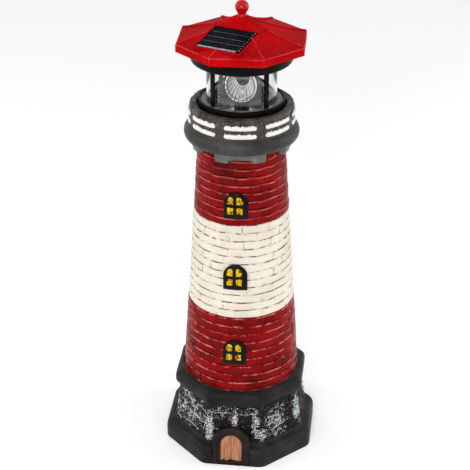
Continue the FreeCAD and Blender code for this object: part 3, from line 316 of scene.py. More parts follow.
def brick_at(angle, z, pitch, first, seed):
    """How proud and how dark a brick is, mm to the nearest bed joint and upright joint, and share up it."""
    course = math.floor((z - first) / pitch)
    random.seed(seed + course * 17)
    count = max(8, round(math.tau * shaft_radius(z) / BRICK_LENGTH))
    shift = (0.5 if course % 2 else 0.0) + random.uniform(-0.06, 0.06)
    along = (angle / math.tau * count + shift) % count
    number = int(along)
    random.seed(seed + course * 131 + number)
    lift, tone, skew = random.random(), random.random(), random.uniform(-0.12, 0.12)
    across = (along - number + skew * 0.5) * math.tau * shaft_radius(z) / count
    width = math.tau * shaft_radius(z) / count
    side = min(abs(across), abs(width - across))
    up = (z - first) - course * pitch
    level = min(up, pitch - up)
    return lift, tone, level, side, up / pitch


print("shaft tapers from", FOOT_RADIUS, "to", HEAD_RADIUS, "mm radius")

# %% Spin each painted band and raise its bricks
def brick_band(name, foot, head, pitch, first, material, seed):
    """One painted band of the shaft as a closed ring with its bricks in relief."""
    bm = bmesh.new()
    rows, z = [], foot
    while z < head:
        rows.append(z)
        up = (z - first) % pitch
        near = min(up, pitch - up)
        z += 0.42 if near < 1.1 else 1.25
    rows.append(head)
    profile = [(shaft_radius(foot) - SHAFT_WALL, foot)]
    profile += [(shaft_radius(z), z) for z in rows]
    profile += [(shaft_radius(head) - SHAFT_WALL, head)]
    lathe(bm, profile, steps=400)
    joint, tone_of, edge = keep_numbers(bm, "joint", "tone", "edge")
    for vert in bm.verts:
        x, y, z = vert.co
        radius = math.hypot(x, y)
        if radius < shaft_radius(z) - SHAFT_WALL / 2:
            continue
        angle = math.atan2(y, x) % math.tau
        wander = noise.noise(Vector((x, y, z)) * 0.09) * 0.55
        lift, tone, level, side, up = brick_at(angle, z + wander, pitch, first, seed)
        into_bed = max(0.0, 1 - level / JOINT_WIDTH)
        into_head = max(0.0, 1 - side / JOINT_WIDTH) * 0.8
        depth = max(into_bed, into_head) ** 1.5
        rough = noise.noise(Vector((x, y, z)) * 0.35) * 0.10 + noise.noise(Vector((x, y, z)) * 0.12) * 0.12
        proud = (lift - 0.5) * 0.4 + rough + (up - 0.5) * 0.3
        reach = radius + (proud - depth * JOINT_DEPTH) - 0.15
        if z <= foot + 0.01 or z >= head - 0.01:
            reach = min(reach, radius - 0.1)
        spread_out(vert, reach / radius)
        vert[joint], vert[tone_of] = depth, tone
        # The edge number is high just under each brick's top edge, where the finish paints a highlight.
        vert[edge] = max(0.0, 1 - abs(level - JOINT_WIDTH) / 0.9) * (1.0 if up > 0.5 else 0.15)
    return finish_piece(bm, name, "tower", material, replaces=("shaft_casting",), sharp=80)


def glazed_brick(name, body, dark, light, wash, glint_from):
    """Glossy painted brick: patchy colour, a dark wash in the joints, and a painted highlight broken along
    each brick's top edge.
    """
    made = Finish(name, Specular_IOR_Level=0.02, Coat_Weight=0.07, Coat_Roughness=0.08)
    patch = made.ramp(made.noise(26, 5, 0.6), (0.30, dark), (0.5, body), (0.72, light))
    fine = made.mix(made.ramp(made.noise(5, 4, 0.6), (0.45, 0.0), (0.75, 0.32)), patch, dark)
    by_brick = made.mix(made.ramp(made.number("tone"), (0.0, 0.35), (0.5, 0.0), (1.0, 0.0)), fine, dark)
    by_brick = made.mix(made.ramp(made.number("tone"), (0.7, 0.0), (1.0, 0.45)), by_brick, light)
    broken = made.ramp(made.noise(9, 3, 0.6), (0.32, 0.25), (0.62, 1.0))
    lines = made.times(made.ramp(made.number("joint"), (0.2, 0.0), (0.75, 0.85)), broken)
    # Painted highlight: broken pink dashes on each brick's top edge stand in for light glinting there; the
    # last argument sets how much of it shows.
    painted_glint = made.times(made.ramp(made.number("edge"), (0.2, 0.0), (0.6, 0.95)),
                     made.ramp(made.noise(6, 4, 0.7, made.stretched((0.7, 0.7, 1.6))), (glint_from, 0.0),
                               (glint_from + 0.11, 1.0)))
    made.colour(made.mix(lines, made.mix(painted_glint, by_brick, (226, 122, 112)), wash))
    made.roughness(made.noise(7, 4), 0.2, 0.34)
    return made.bump(made.noise(1.6, 3, 0.6), 0.12, 0.35).material


red_brick_low = glazed_brick("red brick, foot", (140, 8, 12), (86, 6, 8), (164, 16, 20), (44, 6, 7), 0.47)
red_brick_high = glazed_brick("red brick, head", (134, 7, 10), (82, 5, 6), (160, 16, 20), (62, 6, 9), 0.38)
print("red finishes:", red_brick_low.name, "and", red_brick_high.name)

# %% [markdown]
# The cream band is the same relief under matt cream paint. The wash shows there as
# broken dark dashes along the bed joints, and peach stains run over some bricks.
# %% Cream brick finish and the three bands
def cream_brick():
    made = Finish("cream brick", IOR=1.45, Coat_Weight=0.12, Coat_Roughness=0.35)
    patch = made.ramp(made.noise(30, 4, 0.55), (0.35, (230, 218, 200)), (0.6, (245, 237, 222)))
    stain = made.ramp(made.noise(11, 5, 0.65, made.stretched((1, 1, 2.2))), (0.56, 0.0), (0.74, 0.7))
    stained = made.mix(stain, patch, (238, 208, 172))
    faint = made.mix(made.ramp(made.number("tone"), (0.75, 0.0), (1.0, 0.3)), stained, (246, 226, 208))
    dashes = made.ramp(made.noise(9, 4, 0.65, made.stretched((1, 1, 2.5))), (0.45, 0.08), (0.55, 1.0))
    lines = made.times(made.ramp(made.number("joint"), (0.28, 0.0), (0.7, 1.0)), dashes)
    speck = made.ramp(made.cells(4.5), (0.03, 1.0), (0.06, 0.0))
    rare = made.times(speck, made.ramp(made.noise(15, 2), (0.58, 0.0), (0.64, 1.0)))
    spotted = made.mix(rare, faint, (120, 92, 66))
    made.colour(made.mix(lines, spotted, (40, 27, 20)))
    made.roughness(made.noise(6, 3), 0.42, 0.6)
    return made.bump(made.noise(1.8, 4, 0.6), 0.15, 0.4).material


finishes = {"brick_lower": red_brick_low, "brick_cream": cream_brick(), "brick_upper": red_brick_high}
for seed, (name, foot, head, pitch, first) in enumerate(BANDS):
    band = brick_band(name, foot, head, pitch, first, finishes[name], 500 * seed + 7)
    print(name, len(band.data.polygons), "faces")

# %% [markdown]
# ## Windows
# Each window is a black arched block that stands off the bricks, with four yellow
# panes raised a hair on its face; the cross bar is the black left between them. It
# is all drawn flat, one face for each arch, and then bent onto the shaft, because
# the casting follows the curve. Noise moves the edges of the hand-painted panes.
# %% Windows
def arch_outline(width, height, rise, steps):
    """Points of an arched opening: its left and right foot, then its bow from right to left."""
    half, bow = width / 2, width * width / (8 * rise) + rise / 2
    sweep = math.asin(half / bow)
    turns = [sweep - 2 * sweep * k / steps for k in range(steps + 1)]
    top = [(bow * math.sin(a), height - bow + bow * math.cos(a)) for a in turns]
    return [(-half, 0.0), (half, 0.0)] + top


def arch_face(bm, width, height, rise, x=0.0, z=0.0, y=0.0, steps=16):
    """An arched face looking towards -Y."""
    corners = [bm.verts.new((x + px, y, z + pz)) for px, pz in arch_outline(width, height, rise, steps)]
    face = bm.faces.new(corners)
    face.normal_update()
    if face.normal.y > 0:
        face.normal_flip()
    return face


def push(bm, face, depth):
    """Extrudes a face by a depth along +Y and returns the new face."""
    made = bmesh.ops.extrude_discrete_faces(bm, faces=[face])["faces"][0]
    bmesh.ops.translate(bm, verts=made.verts, vec=(0, depth, 0))
    return made


def bend_on_shaft(bm, stand_off):
    """Bends geometry drawn about x = 0, y = 0 onto the shaft; -y is outwards."""
    for vert in bm.verts:
        x, y, z = vert.co
        radius = shaft_radius(z) + stand_off - y
        turn = x / (shaft_radius(z) + stand_off)
        vert.co = Vector((math.sin(turn) * radius, -math.cos(turn) * radius, z))


black_enamel = plain_finish("black enamel", (6, 4), ((0.35, (9, 9, 9)), (0.75, (27, 25, 24))),
                            (4, 3, 0.28, 0.45), (2.2, 4, 0.12, 0.4), Specular_IOR_Level=0.06,
                            Coat_Weight=0.05, Coat_Roughness=0.1)

pane_yellow = Finish("stained yellow pane", Specular_IOR_Level=0.05, Coat_Weight=0.08, Coat_Roughness=0.1)
stain = pane_yellow.ramp(pane_yellow.noise(4.2, 4, 0.7, distortion=0.9), (0.36, (38, 20, 4)),
                         (0.44, (150, 84, 6)), (0.52, (232, 188, 10)), (0.75, (248, 222, 36)))
pane_yellow.colour(stain).roughness(pane_yellow.noise(4, 3), 0.2, 0.4).bump(pane_yellow.noise(3, 3), 0.2, 0.5)

# Width of a pane, from its middle to the upright bar, and from that bar to the window's centre.
PANE_WIDTH, PANE_REACH, PANE_SHIFT = 5.4, 4.2, 0.8


def window(name, sill):
    """Surround and panes of one window; the upper panes slope down at their outer corners."""
    bm = bmesh.new()
    outer = arch_face(bm, WINDOW_WIDTH, WINDOW_HEIGHT, WINDOW_RISE, z=sill, y=0.6)
    front = bmesh.ops.extrude_discrete_faces(bm, faces=[outer])["faces"][0]
    bmesh.ops.translate(bm, verts=front.verts, vec=(0, -1.9, 0))
    bmesh.ops.inset_region(bm, faces=[front], thickness=0.7, depth=0.0)
    bmesh.ops.translate(bm, verts=front.verts, vec=(0, -0.5, 0))
    back = arch_face(bm, WINDOW_WIDTH, WINDOW_HEIGHT, WINDOW_RISE, z=sill, y=0.6)
    back.normal_flip()
    bmesh.ops.remove_doubles(bm, verts=bm.verts, dist=0.001)
    for cut in range(-10, 11):
        slice_at(bm, (cut * 1.05 + 0.02, 0, 0), (1, 0, 0))
    bend_on_shaft(bm, 0.5)
    finish_piece(bm, name + "_surround", "tower", black_enamel, sharp=50)

    glass = bmesh.new()
    for side in (-1, 1):
        for low, tall, bow in ((5.0, 6.5, 0.5), (14.6, 7.9, 2.4)):
            pane = arch_face(glass, PANE_WIDTH, tall, bow, side * PANE_REACH - PANE_SHIFT, sill + low, -1.75)
            shoulder = sill + max(low + tall * 0.5, WINDOW_HEIGHT / 2)
            for vert in pane.verts:
                if vert.co.z > shoulder:
                    vert.co.z -= max(0.0, (vert.co.x + PANE_SHIFT) * side - 3.4) * 0.55
            bmesh.ops.subdivide_edges(glass, edges=pane.edges[:], cuts=2)
    for face in glass.faces[:]:
        bmesh.ops.inset_region(glass, faces=[face], thickness=0.7, depth=0.0)
        bmesh.ops.translate(glass, verts=face.verts, vec=(0, -0.35, 0))
    for vert in glass.verts:
        here = Vector((vert.co.x, sill, vert.co.z)) * 0.5
        vert.co.x += noise.noise(here) * 0.55
        vert.co.z += noise.noise(here + Vector((7.0, 3.0, 5.0))) * 0.55
    bmesh.ops.triangulate(glass, faces=glass.faces[:])
    bend_on_shaft(glass, 0.5)
    finish_piece(glass, name + "_panes", "tower", pane_yellow.material, sharp=60, fix=False)


for name, sill in zip(("low_window", "middle_window", "top_window"), WINDOW_SILLS):
    window(name, sill)
print("three windows on the front")

# %% [markdown]
# ## Base
# The base is one hollow casting: a plinth with soft edges, a leaning rubble wall
# and a moulded rim. Its plan is an octagon with rounded corners, so one ring of
# points is drawn on that plan and carried up through stations of size and height,
# extruding its edge each time.
# %% The base's plan and stations
FLAT = math.cos(math.pi / 8)


def octagon_reach(angle, radius, corner):
    """Distance to the outline of an octagon with rounded corners, flat side towards -Y."""
    sector = (angle + math.pi / 8) % (math.pi / 4) - math.pi / 8
    apothem = radius * FLAT
    tangent = (apothem - corner) * math.tan(math.pi / 8)
    across = apothem * math.tan(abs(sector))
    if across <= tangent:
        return apothem / math.cos(sector)
    centre = (apothem - corner) / FLAT
    away = math.pi / 8 - abs(sector)
    return centre * math.cos(away) + math.sqrt(max(0.0, corner ** 2 - (centre * math.sin(away)) ** 2))


# Stations are (corner radius of the octagon, height, radius of its rounded corners, or None for a circle).
STATIONS = [(62.0, 0.0, None), (78.4, 0.0, 12), (79.1, 0.4, 12), (79.4, 1.4, 12), (79.4, 4.0, 12),
            (79.4, 7.0, 12), (79.4, 10.0, 12), (79.3, 12.6, 12), (79.0, 14.6, 12), (78.3, 16.4, 12),
            (77.2, 17.9, 11.5), (75.8, 18.8, 11), (74.2, 19.3, 10), (72.2, 19.6, 8), (70.6, 19.9, 6),
            (69.4, 20.6, 5)]
WALL = [(68.9 - 4.9 * k / 60, 21.4 + 39.8 * k / 60, 4) for k in range(61)]
RIM = [(64.6, 62.2, 5), (66.4, 63.4, 6), (67.9, 65.0, 6.5), (68.5, 67.0, 7), (68.6, 69.5, 7), (68.5, 72.0, 7),
       (68.0, 74.2, 7), (66.9, 75.9, 6.5), (65.2, 77.0, 6), (63.2, 77.6, 5), (61.0, 78.3, 5)]
SEAT = [(57.75, 79.0, None), (57.75, 74.1, None), (53.6, 74.1, None)]
DOOR_X, DOOR_LEAN, PORTAL_HEAD = -2.0, math.radians(8.0), 38.5
PORTAL_FRONT = 79.4 * FLAT
print("stations up the base:", len(STATIONS + WALL + RIM + SEAT))


# %% [markdown]
# The wall is squared rubble: rough courses of blocks with dark raked joints, worked
# into the clay by hand. The joints are laid out on the unrolled wall, with slow
# waves so that none runs straight. The finish lays out the same joints, and reads
# from the points where the silver brushing was rubbed on hardest.
# %% Base casting
BLOCKS, COURSE_HEIGHT, FIRST_COURSE, WALL_RADIUS = 50, 6.5, 21.6, 66.5
BLOCK_WIDTH = math.tau * WALL_RADIUS / BLOCKS
# Bearing from the front in degrees, height, half length along the wall, half height, strength.
BRUSHED = ((-22.5, 37, 4.6, 16, 0.48), (-52, 42, 26, 20, 0.27), (-88, 40, 12, 20, 0.34), (1, 45, 3.2, 6, 0.5),
           (20, 42, 4.2, 14, 0.36), (26, 30, 4.0, 7, 0.28), (42, 38, 14, 16, 0.27), (66, 42, 4.6, 16, 0.4),
           (0, 54, 26, 8, 0.14), (112.5, 38, 6, 16, 0.5), (157.5, 40, 6, 15, 0.55), (-112.5, 36, 5, 14, 0.5),
           (-157.5, 40, 6, 16, 0.45), (180, 44, 20, 10, 0.2))


def sway(bearing, up):
    """Slow waves in mm, along and up the wall; whole waves round it, so they meet at the back."""
    return (1.2 * math.sin(0.33 * up + 4 * bearing) + 0.8 * math.sin(0.8 * up + 9 * bearing),
            0.9 * math.sin(11 * bearing + 1) + 0.5 * math.sin(29 * bearing + 0.25 * up))


def block_height(bearing, z):
    """Height of the wall's relief, 0 in a joint to 1 on a proud block."""
    along_wave, up_wave = sway(bearing, z - FIRST_COURSE)
    along, up = bearing * WALL_RADIUS + along_wave, z - FIRST_COURSE + up_wave
    row = math.floor(up / COURSE_HEIGHT)
    along += BLOCK_WIDTH / 2 if row % 2 == 0 else 0.0
    across, rise = along % BLOCK_WIDTH, up - row * COURSE_HEIGHT
    near = min(across, BLOCK_WIDTH - across, rise, COURSE_HEIGHT - rise)
    proud = noise.cell(Vector((math.floor(along / BLOCK_WIDTH) % BLOCKS + 0.5, row + 0.5, 3.5)))
    return min(1.0, near / 1.5) * (0.55 + 0.45 * proud)


def brushed(bearing, z):
    """How hard the silver brush was worked at a place."""
    most = 0.0
    for middle, height, half_long, half_high, strength in BRUSHED:
        apart = (bearing - math.radians(middle) + math.pi) % math.tau - math.pi
        far = (apart * WALL_RADIUS / half_long) ** 2 + ((z - height) / half_high) ** 2
        most = max(most, strength * math.exp(-far * far * 0.5))
    return most


def base_stone():
    """The whole casting as one closed skin."""
    bm = bmesh.new()
    bmesh.ops.create_circle(bm, segments=432, radius=62.0, cap_ends=False)
    levels = STATIONS + WALL + RIM + SEAT
    first = current = bm.edges[:]
    for radius, height, corner in levels[1:]:
        made = bmesh.ops.extrude_edge_only(bm, edges=current)["geom"]
        verts = [g for g in made if isinstance(g, bmesh.types.BMVert)]
        current = [g for g in made if isinstance(g, bmesh.types.BMEdge)]
        for vert in verts:
            angle = math.atan2(vert.co.y, vert.co.x)
            reach = radius if corner is None else octagon_reach(angle + math.pi / 2, radius, corner)
            vert.co = (math.cos(angle) * reach, math.sin(angle) * reach, height)
    bmesh.ops.bridge_loops(bm, edges=first + current)
    wall, worn, across, upward = keep_numbers(bm, "rubble", "worn", "sway_across", "sway_up")
    for vert in bm.verts:
        x, y, z = vert.co
        reach = math.hypot(x, y)
        if reach < 57 or z < 1:
            continue
        bearing = math.atan2(x, -y)
        fade = min(1.0, max(0.0, (z - 21.5) / 4.0)) * min(1.0, max(0.0, (62.2 - z) / 3.0))
        rough = noise.fractal(vert.co * 0.4, 1.0, 2.0, 3)
        height = max(0.0, min(1.0, block_height(bearing, z) + rough * 0.25)) * fade
        smooth = noise.noise(vert.co * 0.05) * 0.18
        move = height * 1.9 - 0.8 * fade + smooth
        if z < 20:
            move = min(0.0, move - 0.2)
        spread_out(vert, (reach + move) / reach)
        if abs(vert.co.x - DOOR_X) < 18.7 and vert.co.y < 0 and z < PORTAL_HEAD:
            vert.co.y = max(vert.co.y, vert.co.z * math.tan(DOOR_LEAN) + 9.0 - PORTAL_FRONT)
        vert[wall], vert[worn] = fade, brushed(bearing, z)
        vert[across], vert[upward] = sway(bearing, z - FIRST_COURSE)
    return bm


def joints_of(made, along, up, width, soft):
    """The wall's joints in a finish, to a half width in mm."""
    spot = made.node("ShaderNodeCombineXYZ")
    made.link(along, spot.inputs["X"])
    made.link(up, spot.inputs["Y"])
    bond = made.node("ShaderNodeTexBrick", offset=0.5, offset_frequency=2)
    for socket, value in (("Scale", 1.0), ("Mortar Size", width), ("Mortar Smooth", soft),
                          ("Brick Width", BLOCK_WIDTH), ("Row Height", COURSE_HEIGHT)):
        bond.inputs[socket].default_value = value
    made.link(spot.outputs[0], bond.inputs["Vector"])
    return bond.outputs["Fac"]


def base_finish():
    """Charcoal paint worn to satin, brown resin in the joints, silver dry-brushing on the blocks."""
    made = Finish("charcoal casting", Specular_IOR_Level=0.08)
    grey = made.ramp(made.noise(34, 5, 0.6), (0.35, (28, 28, 28)), (0.55, (42, 42, 42)),
                     (0.75, (66, 67, 68)))
    clean = made.mix(made.ramp(made.noise(13, 5, 0.65), (0.56, 0.0), (0.78, 0.5)), grey, (46, 38, 32))
    x, y, z = made.axes()
    ragged = made.times(made.minus(made.noise(2.6, 3, 0.7), 0.5), 2.6)
    bearing = made.maths("ARCTAN2", x, made.times(y, -1.0))
    along = made.plus(made.plus(made.times(bearing, WALL_RADIUS), made.number("sway_across")), ragged)
    up = made.plus(made.plus(made.minus(z, FIRST_COURSE), made.number("sway_up")),
                   made.times(made.minus(made.noise(3.1, 3, 0.7), 0.5), 2.2))
    joint = joints_of(made, along, up, 0.7, 0.5)
    skirt = made.minus(joints_of(made, along, up, 1.7, 0.35), joint, clamp=True)
    block = made.ramp(made.noise(4, 4, 0.65), (0.35, (16, 13, 12)), (0.58, (36, 32, 30)),
                      (0.8, (70, 66, 63)))
    stone = made.mix(joint, block, (9, 7, 6))
    streak = made.noise(2.0, 5, 0.75, made.stretched((1, 1, 0.6)), 0.8)
    patchy = made.times(made.minus(made.noise(9, 3, 0.6), 0.5), 0.5)
    brushing_and_highlight = made.plus(made.times(made.number("worn"), 0.62), patchy)
    score = made.plus(made.plus(made.times(skirt, 0.13), brushing_and_highlight), made.times(streak, 0.78))
    brush = made.times(made.ramp(score, (0.61, 0.0), (0.67, 1.0)),
                       made.minus(1.0, made.times(joint, 0.9)))
    on_wall = made.ramp(made.number("rubble"), (0.1, 0.0), (0.45, 1.0))
    gilt = made.mix(made.ramp(made.noise(2.4, 4, 0.7), (0.62, 0.0), (0.68, 0.8)), stone, (134, 108, 78))
    made.colour(made.mix(on_wall, clean, made.mix(brush, gilt, (208, 211, 216))))
    made.roughness(made.noise(9, 4), 0.36, 0.55)
    return made.bump(made.noise(2.4, 5, 0.6), 0.3, 0.5).material


base = finish_piece(base_stone(), "base_stone", "tower", base_finish(),
                    replaces=("base_casting",), sharp=70)
print("base:", len(base.data.polygons), "faces; box", [round(d, 4) for d in base.dimensions])

# %% [markdown]
# ## Doorway
# The doorway stands out of the front wall as a thick arch, flush with the plinth:
# a rounded outer moulding, a step, and a plank door set back inside it. The arch is
# one face; insets and small pushes make the moulding, and a bevel softens it.
# %% Portal and door
def lean(bm):
    """Leans geometry drawn upright on y = 0 back about the doorway's front foot."""
    bmesh.ops.rotate(bm, verts=bm.verts, cent=(0, 0, 0), matrix=Matrix.Rotation(-DOOR_LEAN, 3, "X"))
    bmesh.ops.translate(bm, verts=bm.verts, vec=(0, 0.5 - PORTAL_FRONT, 0))


# Each step of the moulding goes inwards, and then back.
MOULDING = ((0.9, 0.0), (0.5, -0.4), (3.4, 0.0), (0.5, 0.9), (0.4, 0.5), (2.6, 0.0), (0.3, 0.3), (0.1, 3.0))


def portal():
    """Two thick steps round the opening, then the deep reveal that the door stands in."""
    bm = bmesh.new()
    front = push(bm, arch_face(bm, 38.0, 53.0, 17.5, x=DOOR_X, y=14, z=-12.0, steps=28), -14.0)
    for inward, depth in MOULDING:
        bmesh.ops.inset_region(bm, faces=[front], thickness=inward, depth=0.0, use_even_offset=True)
        bmesh.ops.translate(bm, verts=front.verts, vec=(0, depth, 0))
    bevel_all(bm, bm.verts, 0.35)
    bevel_all(bm, box(bm, (23.0, 6.0, 6.4), (DOOR_X, 4.2, 0.9)), 0.8, 3)
    lean(bm)
    cut = slice_at(bm, (0, 0, 0.5), (0, 0, -1), clear_outer=True)
    rim = [e for e in cut["geom_cut"] if isinstance(e, bmesh.types.BMEdge)]
    bmesh.ops.contextual_create(bm, geom=rim)
    return bm


dark_timber = Finish("dark brown moulding", Specular_IOR_Level=0.12, Coat_Weight=0.05, Coat_Roughness=0.2)
dark_timber.colour(dark_timber.ramp(dark_timber.noise(12, 5, 0.6), (0.3, (22, 16, 15)),
                                    (0.55, (38, 28, 27)), (0.78, (60, 42, 38))))
dark_timber.roughness(dark_timber.noise(7, 4), 0.35, 0.5)
dark_timber.bump(dark_timber.noise(3, 5, 0.6, dark_timber.stretched((1, 1, 0.4))), 0.25, 0.5)
finish_piece(portal(), "door_portal", "tower", dark_timber.material, sharp=50)


def door_leaf():
    """Two uneven planks with an open seam between them, their feet a little ragged."""
    bm, door_foot = bmesh.new(), 4.4
    arch_face(bm, 21.6, 28.6, 10.5, x=DOOR_X + 0.4, z=door_foot, y=0.0, steps=24)
    for k in range(1, 46):
        slice_at(bm, (DOOR_X - 10.4 + k * 0.47, 0, 0), (1, 0, 0))
    for k in range(1, 29):
        slice_at(bm, (0, 0, door_foot + k * 1.02), (0, 0, 1))
    for vert in bm.verts:
        across = vert.co.x - DOOR_X
        foot = max(0.0, 1 - (vert.co.z - door_foot) / 6.0)
        seam = math.exp(-((across + 0.1) / (0.4 + foot * 0.4)) ** 2) * (0.9 + foot)
        grain = noise.noise(Vector((across * 0.8, 3.0, vert.co.z * 0.08))) * 0.5
        vert.co.y += seam + grain
        if vert.co.z < 5.0:
            vert.co.z += max(0.0, noise.noise(Vector((across * 0.35, 0, 5))) * 1.4 + 0.4)
    bmesh.ops.solidify(bm, geom=bm.faces[:], thickness=-1.0)
    bmesh.ops.translate(bm, verts=bm.verts, vec=(0, 3.0, 0))
    lean(bm)
    return bm


def plank_finish():
    made = Finish("old pine door")
    grain = made.noise(2.0, 6, 0.7, made.stretched((1.0, 1.0, 0.07)), 0.4)
    tan = made.ramp(grain, (0.30, (120, 70, 38)), (0.46, (182, 122, 80)), (0.62, (206, 148, 104)),
                    (0.80, (226, 172, 128)))
    made.colour(made.mix(made.ramp(made.noise(14, 3), (0.45, 0.0), (0.75, 0.4)), tan, (170, 106, 68)))
    made.roughness(grain, 0.45, 0.62)
    return made.bump(grain, 0.35, 0.6).material


finish_piece(door_leaf(), "door_leaf", "tower", plank_finish(), sharp=60)
print("doorway leans back", round(math.degrees(DOOR_LEAN)), "degrees from y =", round(-PORTAL_FRONT, 2))

# %% [markdown]
# ## Gallery
# The gallery is a second casting over the head of the shaft: a fat cornice, a
# parapet with a rough brown top, and blocks below that seem to carry it. One
# profile is turned for the ring. Its points are then roughened near the top,
# where a crack pattern is both cut in and kept for the finish to darken.
# %% Cornice and parapet
GALLERY_TURN = math.radians(5.0)
GALLERY_WALL = [(40.8, 327.0), (50.2, 327.0), (51.9, 327.9), (53.0, 329.6), (53.6, 331.6), (53.7, 333.2),
                (53.3, 335.4), (52.4, 337.2), (51.0, 338.8), (49.8, 339.7), (48.9, 340.0), (48.4, 340.5)]
GALLERY_WALL += [(48.4, 340.5 + 1.1 * k) for k in range(1, 18)]
GALLERY_TOP = [(48.3, 359.9), (47.9, 360.5), (47.1, 360.9), (46.2, 361.0), (45.3, 361.0), (44.4, 361.0),
               (43.5, 361.0), (42.7, 360.9), (42.0, 360.5), (41.6, 359.7), (41.6, 357.0), (35.7, 357.0),
               (35.7, 330.0), (40.8, 330.0)]


def gallery_ring():
    bm = bmesh.new()
    lathe(bm, GALLERY_WALL + GALLERY_TOP, steps=320)
    crack, age = keep_numbers(bm, "crack", "age")
    for vert in bm.verts:
        x, y, z = vert.co
        reach = math.hypot(x, y)
        if reach < 41.0 or z < 328:
            continue
        here = Vector((x, y, z))
        near = noise.voronoi(here * 0.085 + Vector((3, 1, 2)))[0]
        line = max(0.0, 1 - (near[1] - near[0]) / 0.07)
        up = min(1.0, max(0.0, (z - 338.0) / 12.0))
        rough = noise.fractal(here * 0.22, 1.0, 2.0, 3)
        move = rough * (0.10 + 0.32 * up) - line * 0.55 * up - 0.35 * up
        spread_out(vert, (reach + move) / reach)
        if z > 359:
            vert.co.z = z + rough * 0.35 - line * 0.5 - 0.4
        vert[crack], vert[age] = line * up, up
    return bm


def gallery_finish():
    """Charcoal paint below, thinning to worn brown clay along the parapet's top."""
    made = Finish("charcoal and brown casting", Specular_IOR_Level=0.18)
    grey = made.ramp(made.noise(22, 5, 0.6), (0.32, (44, 45, 44)), (0.55, (58, 58, 57)),
                     (0.78, (80, 80, 79)))
    clay = made.ramp(made.noise(9, 6, 0.65), (0.30, (44, 38, 35)), (0.5, (78, 72, 67)),
                     (0.72, (112, 106, 100)))
    worn = made.times(made.number("age"), made.ramp(made.noise(13, 4), (0.30, 0.45), (0.62, 1.0)))
    body = made.mix(worn, grey, clay)
    chip = made.ramp(made.noise(3.2, 3, 0.6), (0.68, 0.0), (0.74, 0.6))
    flecked = made.mix(made.times(chip, made.number("age")), body, (180, 174, 166))
    made.colour(made.mix(made.ramp(made.number("crack"), (0.15, 0.0), (0.7, 0.92)), flecked, (20, 16, 14)))
    made.roughness(made.noise(7, 4), 0.32, 0.55)
    return made.bump(made.noise(2.6, 6, 0.65), 0.35, 0.6).material


ring = finish_piece(gallery_ring(), "gallery_ring", "tower", gallery_finish(),
                    replaces=("gallery_casting",), sharp=60)
print("gallery ring:", len(ring.data.polygons), "faces")

# %% [markdown]
# The white railing is painted relief: two short bars in each of eight bays, with
# round ends and a lumpy, hand-dabbed edge. A cross-section is spun part of the way
# round and its ends are drawn in; noise then moves the edge about.
# %% White bars
def rail_bar(bm, middle, low, high):
    """One bar about a bearing, between two levels."""
    span, steps, reach = math.radians(35.2), 64, 48.75
    half, centre = (high - low) / 2, (low + high) / 2
    place = Matrix.Rotation(middle - span / 2, 4, "Z") @ Matrix.Translation((reach, 0, centre))
    upright = Matrix.Rotation(math.pi / 2, 4, "X") @ Matrix.Diagonal((1.25, half, 1, 1))
    before = set(bm.verts)
    section = bmesh.ops.create_circle(bm, segments=16, radius=1.0, matrix=place @ upright)["verts"]
    edges = [e for e in bm.edges if e.verts[0] not in before]
    bmesh.ops.spin(bm, geom=section + edges, cent=(0, 0, 0), axis=(0, 0, 1), angle=span, steps=steps)
    made = [v for v in bm.verts if v not in before]
    for vert in made:
        bearing = math.atan2(vert.co.y, vert.co.x)
        gap = (span / 2 - abs((bearing - middle + math.pi) % math.tau - math.pi)) * reach
        end = max(0.0, 1 - gap / half)
        pull = math.sqrt(max(0.0, 1 - end * end)) if end > 0 else 1.0
        here = Vector((bearing * reach, centre, 0))
        wobble = noise.noise(here * 0.35) * 0.8 + noise.noise(here * 1.1) * 0.7
        side = 1 if vert.co.z > centre else -1
        reach_now = math.hypot(vert.co.x, vert.co.y)
        lump = reach + (reach_now - reach) * max(0.3, pull) + noise.noise(vert.co * 0.5) * 0.16
        rise = (vert.co.z - centre) * (1 + wobble * 0.35 * side) + wobble * 0.5 * side
        vert.co.z = centre + rise * pull
        spread_out(vert, lump / reach_now)
    bmesh.ops.remove_doubles(bm, verts=made, dist=0.02)
    bmesh.ops.holes_fill(bm, edges=[e for e in bm.edges if e.is_boundary], sides=0)


def enamel(name, low, high, dirt):
    made = Finish(name, Coat_Weight=0.3, Coat_Roughness=0.25)
    clean = made.ramp(made.noise(8, 4), (0.35, low), (0.7, high))
    made.colour(made.mix(made.ramp(made.noise(3.5, 4, 0.6), (0.64, 0.0), (0.76, 0.5)), clean, dirt))
    made.roughness(made.noise(4, 3), 0.3, 0.5)
    return made.bump(made.noise(2.0, 4), 0.2, 0.5).material


white_enamel = enamel("white enamel", (236, 234, 231), (252, 250, 248), (160, 156, 150))
bm = bmesh.new()
for bay in range(8):
    middle = GALLERY_TURN - math.pi / 2 + bay * math.pi / 4
    for low, high in ((342.7, 347.1), (350.8, 355.2)):
        rail_bar(bm, middle, low, high)
rails = finish_piece(bm, "gallery_rails", "tower", white_enamel, sharp=60)
print("rail bars:", 16, "with", len(rails.data.polygons), "faces")

# %% [markdown]
# Under the cornice, eight stubby corbels sit between the bays and four longer
# lintels fill the space on the main sides. They are plain blocks with worn edges,
# in a greener grey than the ring, because they were brushed separately.
# %% Corbels and lintels
def bracket(bm, width, reach, low, nose):
    """A block that reaches out from the shaft under the cornice."""
    root, head = 38, 327.6
    verts = box(bm, (reach - root, width, head - low), ((reach + root) / 2, 0, (low + head) / 2))
    for vert in verts:
        if vert.co.x > reach - 1 and vert.co.z < low + 1:
            vert.co.x -= nose * 0.55
    bevel_all(bm, verts, 1.1, 3)


